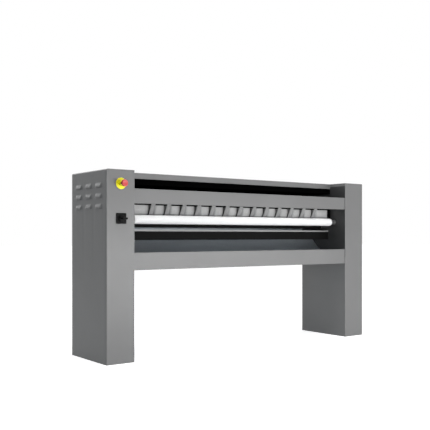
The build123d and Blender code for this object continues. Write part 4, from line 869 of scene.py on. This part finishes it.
(stop_x, disc_y, stop_z), (disc_width, disc_depth, _) = middle_and_size("stop_disc")
disc_r, disc_front, disc_back = disc_width / 2, disc_y - disc_depth / 2, disc_y + disc_depth / 2
lathe(
    "stop_disc_ring",
    [(disc_back, DISC_BORE_RADIUS), (disc_back, disc_r)]
    + stepped(disc_front, disc_r, DISC_FACE)
    + [(disc_front, DISC_BORE_RADIUS), (disc_back, DISC_BORE_RADIUS)],
    "Y", "frame", "warning_yellow", ("stop_disc",), centre=(stop_x, stop_z),
)
collar_low, collar_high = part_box("stop_collar")
collar_r, collar_front, collar_back = (collar_high[0] - collar_low[0]) / 2, collar_low[1], collar_high[1]
lathe(
    "stop_collar_ring",
    [(collar_back, COLLAR_BORE_RADIUS), (collar_back, COLLAR_NECK_RADIUS)]
    + [(disc_back, COLLAR_NECK_RADIUS), (disc_front, COLLAR_NECK_RADIUS)]
    + stepped(disc_front, collar_r, COLLAR_FOOT)
    + stepped(collar_front, collar_r, COLLAR_FRONT)
    + [(collar_front, COLLAR_BORE_RADIUS), (collar_back, COLLAR_BORE_RADIUS)],
    "Y", "frame", "warning_yellow", ("stop_collar",), segments=KNURLED_SEGMENTS,
    centre=(stop_x, stop_z), wobble=knurl(COLLAR_TEETH, COLLAR_KNURL_RADIUS),
)
head_low, head_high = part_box("stop_head")
head_r, head_back, head_front = (head_high[0] - head_low[0]) / 2, head_high[1], head_low[1]
socket_end = head_back - HEAD_SOCKET_DEPTH
head_rim = [
    (head_front + HEAD_ROUND - along, head_r - HEAD_ROUND + across)
    for across, along in arc_points((0.0, 0.0), HEAD_ROUND, 0.0, 90.0, HEAD_ROUND_STEPS)
]
lathe(
    "stop_mushroom",
    [(socket_end, 0.0), (socket_end, HEAD_SOCKET_RADIUS), (head_back, HEAD_SOCKET_RADIUS)]
    + stepped(head_back, head_r, HEAD_UNDERSIDE)
    + head_rim
    + stepped(head_front, head_r, HEAD_DISH)
    + [(head_front + DISH_FLAT_DEPTH, head_r * DISH_FLAT_SHARE), (head_front + DISH_MIDDLE_DEPTH, 0.0)],
    "Y", "stop_head", "signal_red", ("stop_head",), centre=(stop_x, stop_z),
)

# Main switch: bevelled plate with a raised ring, dial and lever. Plate and ring are (height above the
# plate's back, inset or step out from the dial's rim); the lever's layers are (depth, inset)
PLATE_CORNER, CORNER_INSET_SHARE = 0.004, 0.5
PLATE_LAYERS = (
    (0.0, 0.0), (0.0040, 0.0), (0.0048, 0.0003), (0.0052, 0.0012), (0.0052, 0.0030), (0.0048, 0.0034),
    (0.0048, 0.0042), (0.0052, 0.0046),
)
RING_PROFILE = (
    (0.0050, 0.0012), (0.0050, 0.0040), (0.0056, 0.0040), (0.0060, 0.0034), (0.0060, 0.0018),
    (0.0056, 0.0012), (0.0050, 0.0012),
)
DIAL_GAP, DIAL_TEETH, DIAL_KNURL_RADIUS = 0.0003, 30, 0.004
DIAL_EDGE = ((0.0012, 0.0), (0.0004, 0.0004), (0.0, 0.0012))
LEVER_FOOT = ((0.001, 0.0), (-0.004, 0.0002))
LEVER_TOP = ((0.003, 0.0008), (0.0012, 0.0014), (0.0003, 0.0024), (0.0, 0.0036))
LEVER_END_FLAT = 0.001

(switch_x, plate_y, switch_z), (plate_width, plate_depth, plate_height) = middle_and_size("switch_plate")
plate_back = plate_y + plate_depth / 2


def plate_outline(inset):
    """Outline of the switch's plate, drawn in by an inset."""
    corner = PLATE_CORNER - inset * CORNER_INSET_SHARE
    return rounded_outline(plate_width / 2 - inset, plate_height / 2 - inset, corner)


def lever_outline(inset):
    """Outline of the lever, drawn in by an inset."""
    half_bar = KNOB_BAR_WIDTH / 2
    return rounded_outline(bar_half - inset, half_bar - inset, half_bar - LEVER_END_FLAT - inset)


prism(
    "switch_escutcheon", plate_outline, [(plate_back - height, inset) for height, inset in PLATE_LAYERS],
    (switch_x, switch_z), "frame", "black_plastic", ("switch_plate",),
)
knob_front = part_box("switch_knob")[0][1]
lathe(
    "switch_ring",
    [(plate_back - height, KNOB_BASE_RADIUS + step_out) for height, step_out in RING_PROFILE],
    "Y", "frame", "black_plastic", ("switch_plate",), centre=(switch_x, switch_z),
)
dial_back = plate_back - plate_depth - DIAL_GAP
dial_front = dial_back - KNOB_BASE_LENGTH
lathe(
    "switch_dial",
    [(dial_back, 0.0), (dial_back, KNOB_BASE_RADIUS)]
    + stepped(dial_front, KNOB_BASE_RADIUS, DIAL_EDGE)
    + [(dial_front, 0.0)],
    "Y", "switch_knob", "black_plastic", ("switch_knob",), segments=KNURLED_SEGMENTS,
    centre=(switch_x, switch_z), wobble=knurl(DIAL_TEETH, DIAL_KNURL_RADIUS),
)
bar_middle = (KNOB_BAR_FRONT - KNOB_BAR_BACK) / 2
bar_half = (KNOB_BAR_FRONT + KNOB_BAR_BACK) / 2
prism(
    "switch_lever", lever_outline,
    [(dial_front + depth, inset) for depth, inset in LEVER_FOOT]
    + [(knob_front + depth, inset) for depth, inset in LEVER_TOP],
    (switch_x + bar_middle, switch_z), "switch_knob", "black_plastic", ("switch_knob",),
)

# Panel screws: domed heads with a hexagon recess, where the CAD's screws are
SCREW_HEAD_HEIGHT, SCREW_RIM_HEIGHT, SCREW_DOME_HEIGHT = 0.0018, 0.0004, 0.0014
SCREW_FLAT_SHARE, SCREW_HALF_SIDES = 0.45, 12
SCREW_RECESS = ((0.0001, 0.0019), (0.0012, 0.0017), (0.0014, 0.0004))
screw_builder = bmesh.new()


def hexagon_radius(radius, angle):
    """Distance from the middle to a hexagon's edge, whose corners are at a radius."""
    return radius * (cos(pi / 6) / cos((angle % (pi / 3)) - pi / 6))


def screw_ring(middle, y, radius, hexagon):
    """Ring of vertices round a screw's axis, round or as a hexagon."""
    ring = []
    for side in range(2 * SCREW_HALF_SIDES):
        angle = pi * side / SCREW_HALF_SIDES
        reach = hexagon_radius(radius, angle) if hexagon else radius
        place = (middle[0] + reach * cos(angle), y, middle[1] + reach * sin(angle))
        ring.append(screw_builder.verts.new(place))
    return ring


for (x_low, x_high), (_, y_high), (z_low, z_high) in loose_boxes("panel_screws"):
    middle, head_radius = ((x_low + x_high) / 2, (z_low + z_high) / 2), (x_high - x_low) / 2
    under = y_high - SCREW_HEAD_HEIGHT
    rim = under + SCREW_RIM_HEIGHT
    rings = [screw_ring(middle, y, head_radius, False) for y in (under, rim)]
    for angle in (30, 60, 90):
        share = SCREW_FLAT_SHARE + (1.0 - SCREW_FLAT_SHARE) * cos(radians(angle))
        y = rim + SCREW_DOME_HEIGHT * sin(radians(angle))
        rings.append(screw_ring(middle, y, head_radius * share, False))
    for depth, radius in SCREW_RECESS:
        rings.append(screw_ring(middle, y_high - depth, radius, True))
    bridge_rings(screw_builder, rings)
    screw_builder.faces.new(rings[-1])
make_piece("panel_screw_heads", screw_builder, "frame", "machine_steel", ("panel_screws",), sharp=30.0)

# Floor: glows white where the camera, gloss or glass sees it, less near the machine, and is a grey
# floor to all other light
FLOOR_REACH = 40.0
FLOOR_NEAR, FLOOR_FAR, FLOOR_NEAR_GLOW = 1.5, 5.0, 0.70
FLOOR_LEVEL, FLOOR_BOUNCE_LEVEL, FLOOR_CLOUD_SCALE = 248, 180, 0.8
floor_mesh = bpy.data.meshes.new("studio_floor")
floor_builder = bmesh.new()
floor_builder.faces.new(
    [
        floor_builder.verts.new((side_x * FLOOR_REACH, side_y * FLOOR_REACH, 0))
        for side_x, side_y in ((-1, -1), (1, -1), (1, 1), (-1, 1))
    ]
)
floor_builder.to_mesh(floor_mesh)
floor_builder.free()
floor = bpy.data.objects.new("studio_floor", floor_mesh)
bpy.context.scene.collection.objects.link(floor)
floor_surface = Surface("studio_floor", 0.9, specular=0.1)
floor_path = floor_surface.nodes.new("ShaderNodeLightPath")
floor_seen = floor_surface.math(
    "MAXIMUM",
    floor_path.outputs["Is Camera Ray"],
    floor_surface.math(
        "MAXIMUM", floor_path.outputs["Is Glossy Ray"], floor_path.outputs["Is Transmission Ray"]
    ),
)
floor_tone = floor_surface.ramp(floor_surface.noise(FLOOR_CLOUD_SCALE, 2.0), shades(FLOOR_LEVEL, 2.0))
floor_surface.colour(floor_surface.mix("MIX", floor_seen, grey(FLOOR_BOUNCE_LEVEL), floor_tone))
floor_surface.shader.inputs["Emission Color"].default_value = WHITE
floor_distance = floor_surface.nodes.new("ShaderNodeVectorMath")
floor_distance.operation = "LENGTH"
floor_surface.links.new(floor_surface.coordinates.outputs["Object"], floor_distance.inputs[0])
floor_glow = floor_surface.nodes.new("ShaderNodeMapRange")
floor_surface.links.new(floor_distance.outputs["Value"], floor_glow.inputs["Value"])
floor_glow.inputs["From Min"].default_value = FLOOR_NEAR
floor_glow.inputs["From Max"].default_value = FLOOR_FAR
floor_glow.inputs["To Min"].default_value = FLOOR_NEAR_GLOW
floor_glow.inputs["To Max"].default_value = 1.0
floor_surface.links.new(
    floor_surface.math("MULTIPLY", floor_seen, floor_glow.outputs[0]),
    floor_surface.shader.inputs["Emission Strength"],
)
floor_mesh.materials.append(floor_surface.material)
